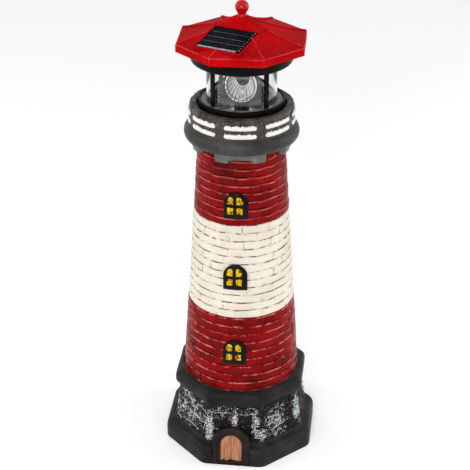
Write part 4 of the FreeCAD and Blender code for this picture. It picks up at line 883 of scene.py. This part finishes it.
def brackets():
    whole = bmesh.new()
    places = [(27.5 + 45 * k, 12.5, 48.2, 316.7, 4.5) for k in range(8)]
    places += [(5.0 + 90 * k, 27.0, 46.6, 320.2, 2.2) for k in range(4)]
    for bearing, width, reach, low, nose in places:
        bm = bmesh.new()
        bracket(bm, width, reach, low, nose)
        bmesh.ops.subdivide_edges(bm, edges=bm.edges[:], cuts=5, use_grid_fill=True)
        bmesh.ops.rotate(bm, verts=bm.verts, cent=(0, 0, 0),
                         matrix=Matrix.Rotation(math.radians(bearing - 90), 3, "Z"))
        part = bpy.data.meshes.new("bracket_part")
        bm.to_mesh(part)
        bm.free()
        whole.from_mesh(part)
        bpy.data.meshes.remove(part)
    for vert in whole.verts:
        rough = noise.fractal(vert.co * 0.25, 1.0, 2.0, 3) * 0.3
        reach = math.hypot(vert.co.x, vert.co.y)
        spread_out(vert, (reach + rough - 0.2) / reach)
        vert.co.z += noise.noise(vert.co * 0.3) * 0.25 if vert.co.z < 326 else 0.0
    return whole


stone_green = Finish("grey green stone")
stone_green.colour(stone_green.mix(
    stone_green.ramp(stone_green.noise(3.6, 4, 0.6), (0.60, 0.0), (0.74, 0.6)),
    stone_green.ramp(stone_green.noise(12, 5, 0.6), (0.3, (62, 66, 60)), (0.52, (88, 93, 85)),
                     (0.75, (116, 122, 113))), (166, 170, 160)))
stone_green.roughness(stone_green.noise(6, 4), 0.45, 0.65).bump(stone_green.noise(2.4, 5, 0.6), 0.35, 0.6)
blocks = finish_piece(brackets(), "gallery_brackets", "tower", stone_green.material,
                      sharp=50)
print("corbels and lintels:", 12, "with", len(blocks.data.polygons), "faces")

# %% [markdown]
# ## Lantern
# The lantern is moulded plastic and hangs in the gallery by a flange. Its cup is
# one turned profile: outer wall, flange with a raised lip, the well that the clear
# tube stands in, and the deck. Short arcs round the corners as a mould would.
# %% Cup, floor disc and thrust washer
DECK = 352.4
cup_profile = rounded([(35.2, 316.0), (35.2, 357.0), (40.0, 357.0), (40.0, 365.0), (38.2, 365.0),
                       (38.2, 363.4), (32.5, 363.4), (32.5, DECK), (5.0, DECK), (5.0, 349.9), (33.0, 349.9),
                       (33.0, 316.0)], 0.7, steps=4)
black = plain_finish("black moulding", (9, 4), ((0.35, (6, 6, 6)), (0.7, (14, 14, 13))), (5, 4, 0.26, 0.4),
                     (1.2, 3, 0.05, 0.4), Specular_IOR_Level=0.05, Coat_Weight=0.02, Coat_Roughness=0.1)
finish_piece(turned(cup_profile, 160), "lantern_cup_moulding", "lantern", black,
             replaces=("lantern_cup",), sharp=45)

# Painted reflection: a thin grey ring laid on the black cup's ledge, inside its lip, stands in for the grey
# that the glossy black plastic reflects there.
ANNULUS = [(32.6, 363.45), (32.7, 363.75), (35.6, 363.85), (37.9, 363.75), (38.15, 363.45)]
ledge_reflection_paint = plain_finish("black ledge, painted reflection", (6, 5, 0.65),
                         ((0.32, (52, 52, 51)), (0.55, (96, 96, 95)), (0.75, (138, 138, 136))),
                         (4, 4, 0.3, 0.5), (1.6, 4, 0.12, 0.5))
finish_piece(turned(ANNULUS, 160), "lantern_ledge", "lantern", ledge_reflection_paint, sharp=60)

silver = plain_finish("silvered floor disc", (14, 5, 0.6),
                      ((0.30, (104, 99, 103)), (0.5, (156, 150, 155)), (0.72, (212, 206, 208))),
                      (8, 3, 0.10, 0.22), Metallic=0.7)
disc = rounded([(6.9, DECK), (30.7, DECK), (30.7, DECK + 0.5), (6.9, DECK + 0.5)], 0.15)
finish_piece(turned(disc, 120), "floor_disc_face", "lantern", silver,
             replaces=("floor_disc",), sharp=50)
washer = rounded([(4.9, DECK), (6.4, DECK), (6.4, DECK + 0.8), (4.9, DECK + 0.8)], 0.15)
finish_piece(turned(washer, 80), "thrust_washer_ring", "lantern", silver,
             replaces=("thrust_washer",), sharp=50)
print("cup profile has", len(cup_profile), "points")

# %% [markdown]
# The tube is clear acrylic, so it is drawn with both its walls and given a real
# index of refraction; light then bends at its edges as it does in the photograph.
# Shadow rays pass it, so the lamps also light what stands inside.
# Four flat posts outside it carry the roof, and all four are one bevelled box
# turned about the axis.
# %% Clear tube, posts and bowl
tube = rounded([(30.8, DECK), (32.4, DECK), (32.4, 401.7), (30.8, 401.7)], 0.3)
clear = Finish("clear acrylic", Transmission_Weight=1.0, IOR=1.47)
clear.colour(clear.ramp(clear.noise(40, 2), (0.3, (0.93, 0.93, 0.94, 1)), (0.7, (0.96, 0.96, 0.97, 1))))
clear.roughness(clear.noise(15, 3), 0.0, 0.02).bump(clear.noise(18, 2), 0.05, 0.2)
shade, bare = clear.node("ShaderNodeMixShader"), clear.node("ShaderNodeBsdfTransparent")
clear.link(clear.node("ShaderNodeLightPath").outputs["Is Shadow Ray"], shade.inputs[0])
clear.link(clear.shader.outputs[0], shade.inputs[1])
clear.link(bare.outputs[0], shade.inputs[2])
clear.link(shade.outputs[0], clear.tree.nodes["Material Output"].inputs["Surface"])
finish_piece(turned(tube, 160), "clear_tube", "lantern", clear.material,
             replaces=("lens_tube",), sharp=45)

HEAD_TURN = math.radians(1.7)
bm = bmesh.new()
for k in range(4):
    verts = box(bm, (2.0, 4.8, 37.1), (34.1, 0, 381.95), HEAD_TURN + math.pi / 4 + k * math.pi / 2)
    bevel_all(bm, verts, 0.45, 3)
finish_piece(bm, "posts", "lantern", black, replaces=("lantern_posts",), sharp=50)

SOFFIT_FOOT = 415.8
bowl_profile = [(0.0, 400.5), (30.7, 400.5), (30.7, 401.7), (32.5, 401.7), (32.5, 400.5), (43.6, 400.5),
                (44.9, 400.8), (46.0, 401.6), (46.6, 402.6), (46.7, 403.8), (46.7, SOFFIT_FOOT),
                (44.3, SOFFIT_FOOT), (44.3, 402.9), (0.0, 402.9)]
finish_piece(turned(bowl_profile, 160, closed=False), "bowl", "lantern", black,
             replaces=("roof_bowl",), sharp=40)

bm = bmesh.new()
place = Matrix.Translation((0, 0, SOFFIT_FOOT)) @ Matrix.Rotation(math.pi / 8 + HEAD_TURN, 4, "Z")
bmesh.ops.create_circle(bm, segments=8, radius=59.4, cap_ends=True, matrix=place)
bmesh.ops.inset_region(bm, faces=bm.faces[:], use_boundary=True, use_even_offset=True, thickness=12.0,
                       depth=0.0)
bmesh.ops.delete(bm, geom=[f for f in bm.faces if len(f.verts) == 8], context="FACES_ONLY")
bmesh.ops.solidify(bm, geom=bm.faces[:], thickness=1.5)
bmesh.ops.translate(bm, verts=bm.verts, vec=(0, 0, SOFFIT_FOOT - min(v.co.z for v in bm.verts)))
print("soffit:", len(bm.faces), "faces")
finish_piece(bm, "soffit", "lantern", black, sharp=40)
print("lantern turned by", round(math.degrees(HEAD_TURN), 1), "degrees")

# %% [markdown]
# ## Roof
# The roof is one glossy red moulding: eight hollow-curved slopes, a rib on each
# hip, a short upright fascia, and a sunk tray for the solar panel with a steep
# ramp behind it. The slopes are drawn ring by ring from the eaves to the crown.
# Each ring is an octagon whose points crowd in at the hips, where they rise into
# the rib. The tray is then cut with Booleans, as the mould's insert forms it.
# %% Rings of the roof
EAVES, CROWN, CURVE = 62.0 * FLAT, 5.0, 185.0
EDGE_TOP, CROWN_TOP, FASCIA_FOOT = 421.4, 440.8, 414.0


def slope_height(apothem):
    """Height of a slope's surface at a distance from the axis."""
    run, rise = EAVES - CROWN, CROWN_TOP - EDGE_TOP
    half = math.hypot(run, rise) / 2
    deep = math.sqrt(CURVE ** 2 - half ** 2)
    mid_a, mid_z = (EAVES + CROWN) / 2, (EDGE_TOP + CROWN_TOP) / 2
    centre_a = mid_a + deep * rise / math.hypot(run, rise)
    centre_z = mid_z + deep * run / math.hypot(run, rise)
    inside = CURVE ** 2 - (apothem - centre_a) ** 2
    return centre_z - math.sqrt(max(0.0, inside))


# How far a ring's first points stand from the hip.
FROM_HIP = (0.0, 0.45, 0.9, 1.25, 1.6, 2.1, 3.2)


def ring_points(apothem, rib):
    """One octagonal ring: (x, y, extra height) of each point, crowded towards the hips."""
    half = apothem * math.tan(math.pi / 8)
    shares = [max(-1.0, -1.0 + min(d, half * k / 7.5) / half) for k, d in enumerate(FROM_HIP)]
    middle = [shares[-1] + (-shares[-1] * 2) * k / 9 for k in range(1, 9)]
    across = shares + middle + [-s for s in reversed(shares)][:-1]
    out = []
    for facet in range(8):
        turn = HEAD_TURN - math.pi / 2 + facet * math.pi / 4
        for share in across:
            x, y = apothem, share * half
            gap = (1 - abs(share)) * half * math.cos(math.pi / 8)
            lift = rib * max(0.0, min(1.0, (1.75 - gap) / 0.7)) ** 0.7 if gap < 1.75 else 0.0
            c, s = math.cos(turn), math.sin(turn)
            out.append((x * c - y * s, x * s + y * c, lift))
    return out


def ringed_solid(levels):
    """A closed solid through octagonal rings of (apothem, height, rib height)."""
    bm = bmesh.new()
    count = len(ring_points(50, 0))
    order = bm.verts.layers.int.new("order")
    first = bmesh.ops.create_circle(bm, segments=count, radius=10.0, cap_ends=False)["verts"]
    for i, vert in enumerate(first):
        vert[order] = i
    lower = current = bm.edges[:]
    verts = first
    for step, (apothem, height, rib) in enumerate(levels):
        if step:
            made = bmesh.ops.extrude_edge_only(bm, edges=current)["geom"]
            verts = [g for g in made if isinstance(g, bmesh.types.BMVert)]
            current = [g for g in made if isinstance(g, bmesh.types.BMEdge)]
        points = ring_points(apothem, rib)
        for vert in verts:
            x, y, lift = points[vert[order]]
            vert.co = (x, y, height + lift)
    for loop in (lower, [e for e in bm.edges if e.is_boundary and e not in set(lower)]):
        bmesh.ops.contextual_create(bm, geom=loop)
    bmesh.ops.recalc_face_normals(bm, faces=bm.faces)
    return bm


SLOPE = [EAVES - 0.9 + (3.4 - EAVES + 0.9) * (k / 40) for k in range(41)]
ROOF_WALL, RIB_HEIGHT = 2.2, 1.05
OUTER = [(EAVES - 0.5, FASCIA_FOOT, 0.0), (EAVES - 0.1, FASCIA_FOOT + 0.25, 0.0),
         (EAVES, FASCIA_FOOT + 0.7, 0.0), (EAVES, EDGE_TOP - 1.0, 0.0),
         (EAVES - 0.15, EDGE_TOP - 0.35, 0.15), (EAVES - 0.5, EDGE_TOP - 0.02, 0.6)]
OUTER += [(a, slope_height(a), RIB_HEIGHT) for a in SLOPE]
INNER = [(EAVES - ROOF_WALL, FASCIA_FOOT - 1.0, 0.0), (EAVES - ROOF_WALL, EDGE_TOP - ROOF_WALL, 0.0)]
INNER += [(a, slope_height(a) - ROOF_WALL, 0.0) for a in (50, 44, 38, 32, 26, 20, 14, 9, 6)]
print("rings over the slopes:", len(OUTER), "points in a ring:", len(ring_points(50, 0)))

# %% [markdown]
# The tray and its ramp are slabs set out in the panel's own frame, whose +Y runs
# uphill. Cutting and adding whole solids keeps the moulding's wall even beneath
# the tray, as it would be in the real part. The tray's block is added before the
# room inside is cut out, because its sides lie in line with that room's, and faces
# that coincide leave gaps in the skin.
# %% Cut the tray and finish the roof
PANEL_TURN = HEAD_TURN - math.pi / 2 - math.pi / 8
PANEL_REACH, PANEL_LEVEL, PANEL_SLOPE = 28.4, EDGE_TOP + 6.9, math.radians(10.5)
PANEL_LONG, PANEL_DEEP = 43.0, 38.5
PANEL_FRAME = (Matrix.Translation((math.cos(PANEL_TURN) * PANEL_REACH, math.sin(PANEL_TURN) * PANEL_REACH,
                                   PANEL_LEVEL))
               @ Matrix.Rotation(PANEL_TURN + math.pi / 2, 4, "Z") @ Matrix.Rotation(PANEL_SLOPE, 4, "X"))


def panel_slab(grow, low, high):
    bm = bmesh.new()
    size = (PANEL_LONG + 2 * grow, PANEL_DEEP + 2 * grow, high - low)
    bmesh.ops.create_cube(bm, size=1.0, matrix=PANEL_FRAME @ Matrix.Translation((0, 0, (low + high) / 2))
                          @ Matrix.Diagonal((*size, 1.0)))
    return bm


def ramp_slab(grow, below, above):
    """A slab that leans up at 50 degrees from the panel's uphill edge."""
    bm = bmesh.new()
    lean_back = Matrix.Translation((0, PANEL_DEEP / 2 + 0.1, 0)) @ Matrix.Rotation(math.radians(50), 4, "X")
    size = (PANEL_LONG + 2 * grow, PANEL_DEEP / 2, above - below)
    bmesh.ops.create_cube(bm, size=1.0, matrix=PANEL_FRAME @ lean_back
                          @ Matrix.Translation((0, PANEL_DEEP / 4, (above + below) / 2))
                          @ Matrix.Diagonal((*size, 1.0)))
    return bm


def combine(target, tool, operation):
    """Boolean of two meshes held in bmeshes; the result goes back into the first."""
    pair = []
    for bm in (target, tool):
        mesh = bpy.data.meshes.new("boolean")
        bm.to_mesh(mesh)
        pair.append(bpy.data.objects.new("boolean", mesh))
        scene.collection.objects.link(pair[-1])
    cutter = pair[0].modifiers.new("boolean", "BOOLEAN")
    cutter.object, cutter.operation, cutter.solver = pair[1], operation, "EXACT"
    result = pair[0].evaluated_get(bpy.context.evaluated_depsgraph_get()).to_mesh()
    target.clear()
    target.from_mesh(result)
    for thing in pair:
        mesh = thing.data
        bpy.data.objects.remove(thing)
        bpy.data.meshes.remove(mesh)
    tool.free()
    return target


cavity = combine(ringed_solid(INNER), panel_slab(1.9, -3.8, 40), "DIFFERENCE")
cavity = combine(cavity, ramp_slab(1.8, -1.8, 12), "DIFFERENCE")
roof = combine(ringed_solid(OUTER), panel_slab(1.9, -3.8, 0), "UNION")
roof = combine(roof, cavity, "DIFFERENCE")
roof = combine(roof, panel_slab(0.1, -2.0, 40), "DIFFERENCE")
roof = combine(roof, ramp_slab(0.1, 0.0, 40), "DIFFERENCE")
bmesh.ops.dissolve_degenerate(roof, edges=roof.edges[:], dist=0.0005)
# Painted highlight: a pale line along each hip rib and along the fascia's top edge stands in for light
# glinting on those edges.
(brushing_and_highlight,) = keep_numbers(roof, "brushing_and_highlight")
for vert in roof.verts:
    reach = math.hypot(vert.co.x, vert.co.y)
    bearing = (math.atan2(vert.co.y, vert.co.x) - HEAD_TURN) % (math.pi / 4) - math.pi / 8
    hip = max(0.0, 1 - abs(math.sin(bearing)) * reach / 0.8) if reach > 8 else 0.0
    level = reach * math.cos(math.pi / 8 - abs(bearing))
    brim = max(0.0, 1 - abs(vert.co.z - EDGE_TOP + 0.2) / 1.0) if level > EAVES - 0.8 else 0.0
    vert[brushing_and_highlight] = max(hip, brim) if vert.co.z > EDGE_TOP - 1.5 else 0.0

red = Finish("glossy red moulding", Specular_IOR_Level=0.0, Coat_Weight=0.07, Coat_Roughness=0.06)
# The pale red (240, 96, 102) is that painted highlight, mixed with fine pale specks at random.
painted_edge_highlight = red.times(red.ramp(red.number("brushing_and_highlight"), (0.3, 0.0), (0.9, 0.55)),
                 red.ramp(red.noise(16, 3, 0.6), (0.40, 0.15), (0.60, 1.0)))
highlight_and_specks = red.maths("MAXIMUM", painted_edge_highlight, red.ramp(red.noise(1.4, 2), (0.62, 0.0), (0.70, 0.2)))
red.colour(red.mix(highlight_and_specks,
                   red.ramp(red.noise(28, 4, 0.55), (0.3, (164, 0, 5)), (0.55, (190, 1, 7)),
                            (0.75, (210, 3, 12))), (240, 96, 102)))
red.roughness(red.noise(10, 4), 0.2, 0.32).bump(red.noise(7, 3), 0.12, 0.3)
roof_piece = finish_piece(roof, "roof", "lantern", red.material, replaces=("roof_shell",),
                          sharp=24)
print("roof:", len(roof_piece.data.polygons), "faces")

# %% [markdown]
# ## Solar panel
# The panel is a black glass slab with four strips of cell, a silver bar across
# them near the lower edge, and a row of small solder ticks down its right side.
# Everything is laid out in the panel's own frame and stands a hair off the glass,
# as printed and soldered parts do under a thin cover.
# %% Panel
def on_panel_frame(bm):
    bmesh.ops.transform(bm, matrix=PANEL_FRAME, verts=bm.verts)
    return bm


def flat_box(bm, x0, x1, y0, y1, z0, z1):
    size, middle = (x1 - x0, y1 - y0, z1 - z0), ((x0 + x1) / 2, (y0 + y1) / 2, (z0 + z1) / 2)
    return box(bm, size, middle)


bm = bmesh.new()
bevel_all(bm, flat_box(bm, -21.5, 21.5, -19.25, 19.25, -2.0, -0.1), 0.3, 3)
glass = plain_finish("black panel glass", (12, 3), ((0.35, (9, 9, 11)), (0.7, (16, 16, 19))),
                     (9, 3, 0.14, 0.22), Specular_IOR_Level=0.0, Coat_Weight=0.015, Coat_Roughness=0.06)
finish_piece(on_panel_frame(bm), "panel_glass", "lantern", glass,
             replaces=("solar_panel",), sharp=40)

bm = bmesh.new()
CELL_ROWS = ((-15.4, -7.6), (-6.9, 1.0), (1.7, 9.6), (10.3, 17.6))
for low, high in CELL_ROWS:
    flat_box(bm, -20.2, 17.4, low, high, -0.14, -0.04)
cell = Finish("solar cell", Specular_IOR_Level=0.0, Coat_Weight=0.015, Coat_Roughness=0.05)
grain = cell.ramp(cell.cells(3.6, output="Color"), (0.3, (17, 17, 21)), (0.7, (31, 31, 36)))
cell.colour(cell.mix(cell.ramp(cell.noise(22, 3), (0.35, 0.0), (0.7, 0.5)), grain, (38, 38, 44)))
cell.roughness(cell.noise(9, 3), 0.12, 0.2)
finish_piece(on_panel_frame(bm), "panel_cells", "lantern", cell.material, sharp=40)

bm = bmesh.new()
flat_box(bm, -20.2, 17.4, -18.3, -16.0, -0.12, -0.02)
for row in range(9):
    y = -15.0 + row * 3.9
    flat_box(bm, 18.4, 19.3 if row % 2 else 20.0, y, y + 1.0, -0.12, -0.02)
for low, high in CELL_ROWS[1:]:
    flat_box(bm, -20.2, 17.4, low - 0.5, low - 0.28, -0.12, -0.03)
tin = plain_finish("tinned bar", (2.5, 3), ((0.35, (110, 110, 112)), (0.7, (190, 190, 192))),
                   (2, 3, 0.25, 0.4), Metallic=0.6)
finish_piece(on_panel_frame(bm), "panel_bars", "lantern", tin, sharp=40)
print("panel turned", round(math.degrees(PANEL_TURN) + 90, 1), "degrees from the front, sloping",
      round(math.degrees(PANEL_SLOPE), 1))

# %% [markdown]
# ## Finial
# A ball on a short neck, moulded apart in the same red but shinier, and pegged into
# the crown. It is one profile turned about the axis; a small flat at the pole is
# where the mould was gated.
# %% Ball and neck
ball = [(0.0, 434.5), (2.0, 434.5), (2.0, 440.9), (4.4, 440.9), (4.6, 441.6), (4.3, 442.6), (4.0, 443.6),
        (3.95, 444.6), (4.25, 445.35)]
ball += [(6.2 * math.cos(a), 450.0 + 6.2 * math.sin(a)) for a in
         (math.radians(-46 + 130 * k / 24) for k in range(25))]
ball += [(0.0, 456.18)]
shiny = plain_finish("polished red ball", (9, 3), ((0.35, (176, 0, 5)), (0.7, (204, 2, 9))),
                     (5, 3, 0.15, 0.25), (4, 3, 0.1, 0.3), Specular_IOR_Level=0.05, Coat_Weight=0.4,
                     Coat_Roughness=0.05)
finish_piece(turned(ball, 72, closed=False), "finial_ball", "lantern", shiny,
             replaces=("finial",), sharp=40)
print("finial:", len(ball), "points")

# %% [markdown]
# ## Turning mirror
# The mirror is a silvered reflector seen from its front: a flared cup with a double
# rim, and rows of small facets round its wall. The cup is one profile with a corner
# at each row, turned in few enough steps for each facet to stay flat, and then laid
# on its side. It rides on a black stem with a knurled skirt.
# %% Mirror, stem and drive gear
MIRROR_Z = 377.2


def face_forward(bm):
    """Lays turned geometry on its side, its foot towards the front, at the mirror's height."""
    bmesh.ops.rotate(bm, verts=bm.verts, cent=(0, 0, 0), matrix=Matrix.Rotation(math.pi / 2, 3, "X"))
    bmesh.ops.translate(bm, verts=bm.verts, vec=(0, 0, MIRROR_Z))
    return bm


def mirror_cup():
    rows = 7
    inner, outer = [], []
    for k in range(rows + 1):
        u = k / rows
        radius = 6.6 + (12.9 - 6.6) * (1 - (1 - u) ** 1.7)
        inner.append((radius - 0.35, -7.2 + 12.6 * u))
        outer.append((radius + 0.75, -7.6 + 12.8 * u))
    rim = [(13.1, 5.6), (13.35, 7.2), (13.5, 7.9), (14.1, 7.9), (14.6, 7.4), (14.65, 6.6), (14.2, 5.8)]
    profile = inner + rim + list(reversed(outer))
    return face_forward(turned(profile, 44))


def reflector_finish():
    """Facets painted near white as a painted reflection of the bright room, with dark lines between them that
    are painted clearest low on the left.
    """
    made = Finish("faceted reflector, painted reflection", Metallic=0.1)
    x, y, z = made.axes()
    high = made.minus(z, MIRROR_Z)
    turn = made.times(made.maths("ARCTAN2", high, x), 22 / math.tau)
    lines = []
    for share in (turn, made.maths("DIVIDE", y, 1.8)):
        middle = made.maths("ABSOLUTE", made.minus(made.maths("FRACT", share), 0.5))
        lines.append(made.ramp(middle, (0.36, 0.0), (0.44, 1.0)))
    # Painted reflection: the facet lines fade out except low on the left, and the near-white colour stands in
    # for what the silver mirrors, since the shader itself mirrors little.
    side = made.times(made.plus(x, high), -0.05)
    reflection_mask = made.ramp(made.plus(side, 0.5), (0.35, 0.22), (0.65, 1.0))
    painted_reflection_white = made.ramp(made.noise(6, 3, 0.6), (0.35, (0.72, 0.72, 0.73, 1)), (0.65, (0.97, 0.97, 0.98, 1)))
    made.colour(made.mix(made.times(made.maths("MAXIMUM", *lines), reflection_mask), painted_reflection_white,
                         (0.02, 0.02, 0.022, 1)))
    return made.roughness(made.noise(5, 3), 0.08, 0.16).material


finish_piece(mirror_cup(), "mirror_cup", "beacon", reflector_finish(),
             replaces=("mirror",), sharp=6)


# Painted shade: thin dark rings on the mirror's inner rim, outer rim and throat stand in for the shade and
# dark reflections along those edges.
def rim_ring(radius, thick, y):
    profile = [(radius + thick * math.cos(a), -y + thick * math.sin(a)) for a in
               (math.tau * k / 10 for k in range(10))]
    return face_forward(turned(profile, 96))


painted_rim_shade = plain_finish("painted shade on mirror rims", (3, 3), ((0.35, (12, 12, 14)), (0.7, (44, 44, 46))),
                         (2, 3, 0.15, 0.3), Specular_IOR_Level=0.3)
for name, radius, thick, y in (("mirror_rim_inner", 12.9, 0.28, -7.5), ("mirror_rim_outer", 14.5, 0.3, -6.2),
                               ("mirror_throat", 6.6, 0.5, 7.2)):
    finish_piece(rim_ring(radius, thick, y), name, "beacon", painted_rim_shade, sharp=80)

bm = turned([(2.6, 343.0), (4.6, 343.0), (4.6, 353.5), (6.1, 353.5), (6.5, 353.9), (6.5, 361.0), (5.9, 361.8),
             (4.6, 362.6), (2.6, 362.6)], 96)
for vert in bm.verts:
    reach = math.hypot(vert.co.x, vert.co.y)
    if reach > 6.3:
        turn = math.atan2(vert.co.y, vert.co.x)
        pull = 0.35 * (0.5 + 0.5 * math.cos(turn * 24))
        spread_out(vert, (reach + pull - 0.1) / reach)
finish_piece(bm, "stem_knurl", "beacon", black, replaces=("beacon_stem",), sharp=30)
print("mirror centre at", MIRROR_Z, "mm, front towards -Y")

# %% [markdown]
# ## Pieces inside
# The drive, battery, switch and lower screws keep the solids' own shape, because
# those are turned and pressed forms with nothing more to model. Each kind still has
# a finish of its own: steel, moulded nylon, printed board, battery sleeve. The four
# screws under the roof are drawn again with points, so that they end inside it.
# %% Finishes for the pieces inside
def simple(name, low, high, rough, size_mm=6.0, **uniform):
    """A finish of two near shades, its roughness and bump finer than its colour."""
    return plain_finish(name, (size_mm, 4, 0.6), ((0.33, low), (0.68, high)), (size_mm * 0.6, 4, *rough),
                        (size_mm * 0.2, 4, 0.05, 0.4), **uniform)


steel = simple("screw steel", (150, 150, 152), (196, 196, 198), (0.22, 0.4), 3.0, Metallic=1.0)
nylon = simple("white nylon", (222, 220, 212), (238, 237, 230), (0.35, 0.5))
cream = simple("cream nylon gear", (226, 216, 190), (240, 232, 210), (0.3, 0.45))
board = simple("green circuit board", (20, 74, 40), (34, 100, 58), (0.25, 0.4))
sleeve = simple("battery sleeve", (34, 92, 60), (52, 120, 82), (0.2, 0.35))
spring = simple("nickel contact", (168, 164, 156), (206, 202, 192), (0.18, 0.32), 3.0, Metallic=1.0)
motor_can = simple("motor can", (140, 142, 146), (182, 184, 188), (0.25, 0.4), 5.0, Metallic=1.0)
led = simple("clear lamp", (0.92, 0.93, 0.9, 1), (0.99, 0.99, 0.97, 1), (0.02, 0.06), 5.0,
             Transmission_Weight=0.9, IOR=1.5)


SCREW = [(0.0, -1.38), (1.5, -1.38), (2.0, -1.15), (2.28, -0.7), (2.28, 0.0), (1.18, 0.0), (1.18, 4.2),
         (0.2, 6.2), (0.0, 6.2)]


def pointed_screws(reach, seat, bearings):
    """Slotted pan heads with pointed shanks, driven upwards from a seat."""
    bm, slots = bmesh.new(), bmesh.new()
    for bearing in bearings:
        turn = math.radians(bearing)
        place = Vector((reach * math.cos(turn), reach * math.sin(turn), seat))
        before = set(bm.verts)
        lathe(bm, SCREW, steps=32, closed=False)
        bmesh.ops.translate(bm, verts=[v for v in bm.verts if v not in before], vec=place)
        box(slots, (6.0, 0.6, 1.2), place - Vector((0, 0, 1.4)))
    return combine(bm, slots, "DIFFERENCE")


finish_piece(pointed_screws(50.6, SOFFIT_FOOT, (0, 90, 180, 315)), "roof_screw_set", "lantern", steel,
             replaces=("roof_screws",), sharp=30)
INSIDE = {
    "circuit_board": board, "motor": motor_can, "chassis_plate": nylon,
    "chassis_screws": steel, "lamp_post": nylon, "lamp": led, "base_cover": black,
    "cover_screws": steel, "battery_hatch": black, "battery": sleeve, "battery_contacts": spring,
    "switch_case": black, "drive_gear": cream, "motor_shaft": steel, "pinion": cream,
    "switch_slider": nylon,
}
for node, finish in INSIDE.items():
    solid = bpy.data.objects[node]
    solid.data.materials.clear()
    solid.data.materials.append(finish)
print(len(INSIDE), "solids carried over with finishes")

# %% [markdown]
# ## Light, floor and camera
# Plain studio light: a pale sky all round, a soft lamp on the left, a tall one on
# the right and a small one above the camera. The sky is only half as strong for the
# object as for the eye: rays from the camera, and rays that a surface mirrors or
# lets through, see it pure white. The floor glows a little for the same rays, so it
# reads as white and keeps the soft shadow. The camera stands where the
# photographer's did: a little right of the front and 28 degrees up, with a long lens.
# %% Studio
def seen_rays(tree):
    """1 for rays that show the background: from the camera, mirrored or let through."""
    rays, total = tree.nodes.new("ShaderNodeLightPath").outputs, None
    for name in ("Is Camera Ray", "Is Glossy Ray", "Is Transmission Ray"):
        if total is None:
            total = rays[name]
            continue
        both = tree.nodes.new("ShaderNodeMath")
        both.operation, both.use_clamp = "ADD", True
        tree.links.new(total, both.inputs[0])
        tree.links.new(rays[name], both.inputs[1])
        total = both.outputs[0]
    return total


SKY_ON_OBJECT, SKY_SEEN, FLOOR_GLOW = 0.58, 1.0, 0.26
world = bpy.data.worlds.new("studio")
scene.world = world
world.use_nodes = True
background = world.node_tree.nodes["Background"]
background.inputs["Color"].default_value = (1, 1, 1, 1)
strength = world.node_tree.nodes.new("ShaderNodeMapRange")
strength.inputs["To Min"].default_value = SKY_ON_OBJECT
strength.inputs["To Max"].default_value = SKY_SEEN
world.node_tree.links.new(seen_rays(world.node_tree), strength.inputs["Value"])
world.node_tree.links.new(strength.outputs["Result"], background.inputs["Strength"])


def soft_lamp(name, size, power, place, aim=(0, 0, 0.25)):
    """A rectangular lamp in metres and watts, turned to face a point."""
    data = bpy.data.lights.new(name, "AREA")
    data.shape, data.size, data.size_y, data.energy = "RECTANGLE", size[0], size[1], power
    lamp = bpy.data.objects.new(name, data)
    lamp.location = place
    lamp.rotation_euler = (Vector(aim) - Vector(place)).to_track_quat("-Z", "Y").to_euler()
    scene.collection.objects.link(lamp)


soft_lamp("key", (0.35, 0.6), 4.8, (-1.42, -0.15, 1.02))
soft_lamp("fill", (0.2, 0.9), 5.5, (1.3, 0.25, 0.7))
soft_lamp("front", (0.35, 0.35), 6.0, (-0.10, -1.30, 0.86))

floor_mesh = bpy.data.meshes.new("floor")
bm = bmesh.new()
bmesh.ops.create_grid(bm, x_segments=1, y_segments=1, size=6.0)
bm.to_mesh(floor_mesh)
bm.free()
floor = bpy.data.objects.new("floor", floor_mesh)
scene.collection.objects.link(floor)
paper = Finish("white paper floor", Roughness=0.9, Specular_IOR_Level=0.0)
sheet = paper.ramp(paper.noise(900, 2), (0.3, (0.97, 0.97, 0.97, 1)), (0.7, (1.0, 1.0, 1.0, 1)))
paper.colour(sheet)
paper.shader.inputs["Emission Color"].default_value = (1, 1, 1, 1)
paper.link(paper.times(seen_rays(paper.tree), FLOOR_GLOW), paper.shader.inputs["Emission Strength"])
floor_mesh.materials.append(paper.material)

CAMERA_TILT, CAMERA_HEADING = math.radians(27.83), math.radians(6.84)
camera_data = bpy.data.cameras.new("camera")
camera_data.sensor_width = 36.0
camera_data.lens = 101.9
camera = bpy.data.objects.new("camera", camera_data)
camera.location = (0.1292, -1.1289, 0.8210)
camera.rotation_euler = (math.pi / 2 - CAMERA_TILT, 0.0, CAMERA_HEADING)
scene.collection.objects.link(camera)
scene.camera = camera
scene.view_settings.view_transform = "Standard"
print("camera", [round(c, 3) for c in camera.location], "lens", camera_data.lens)
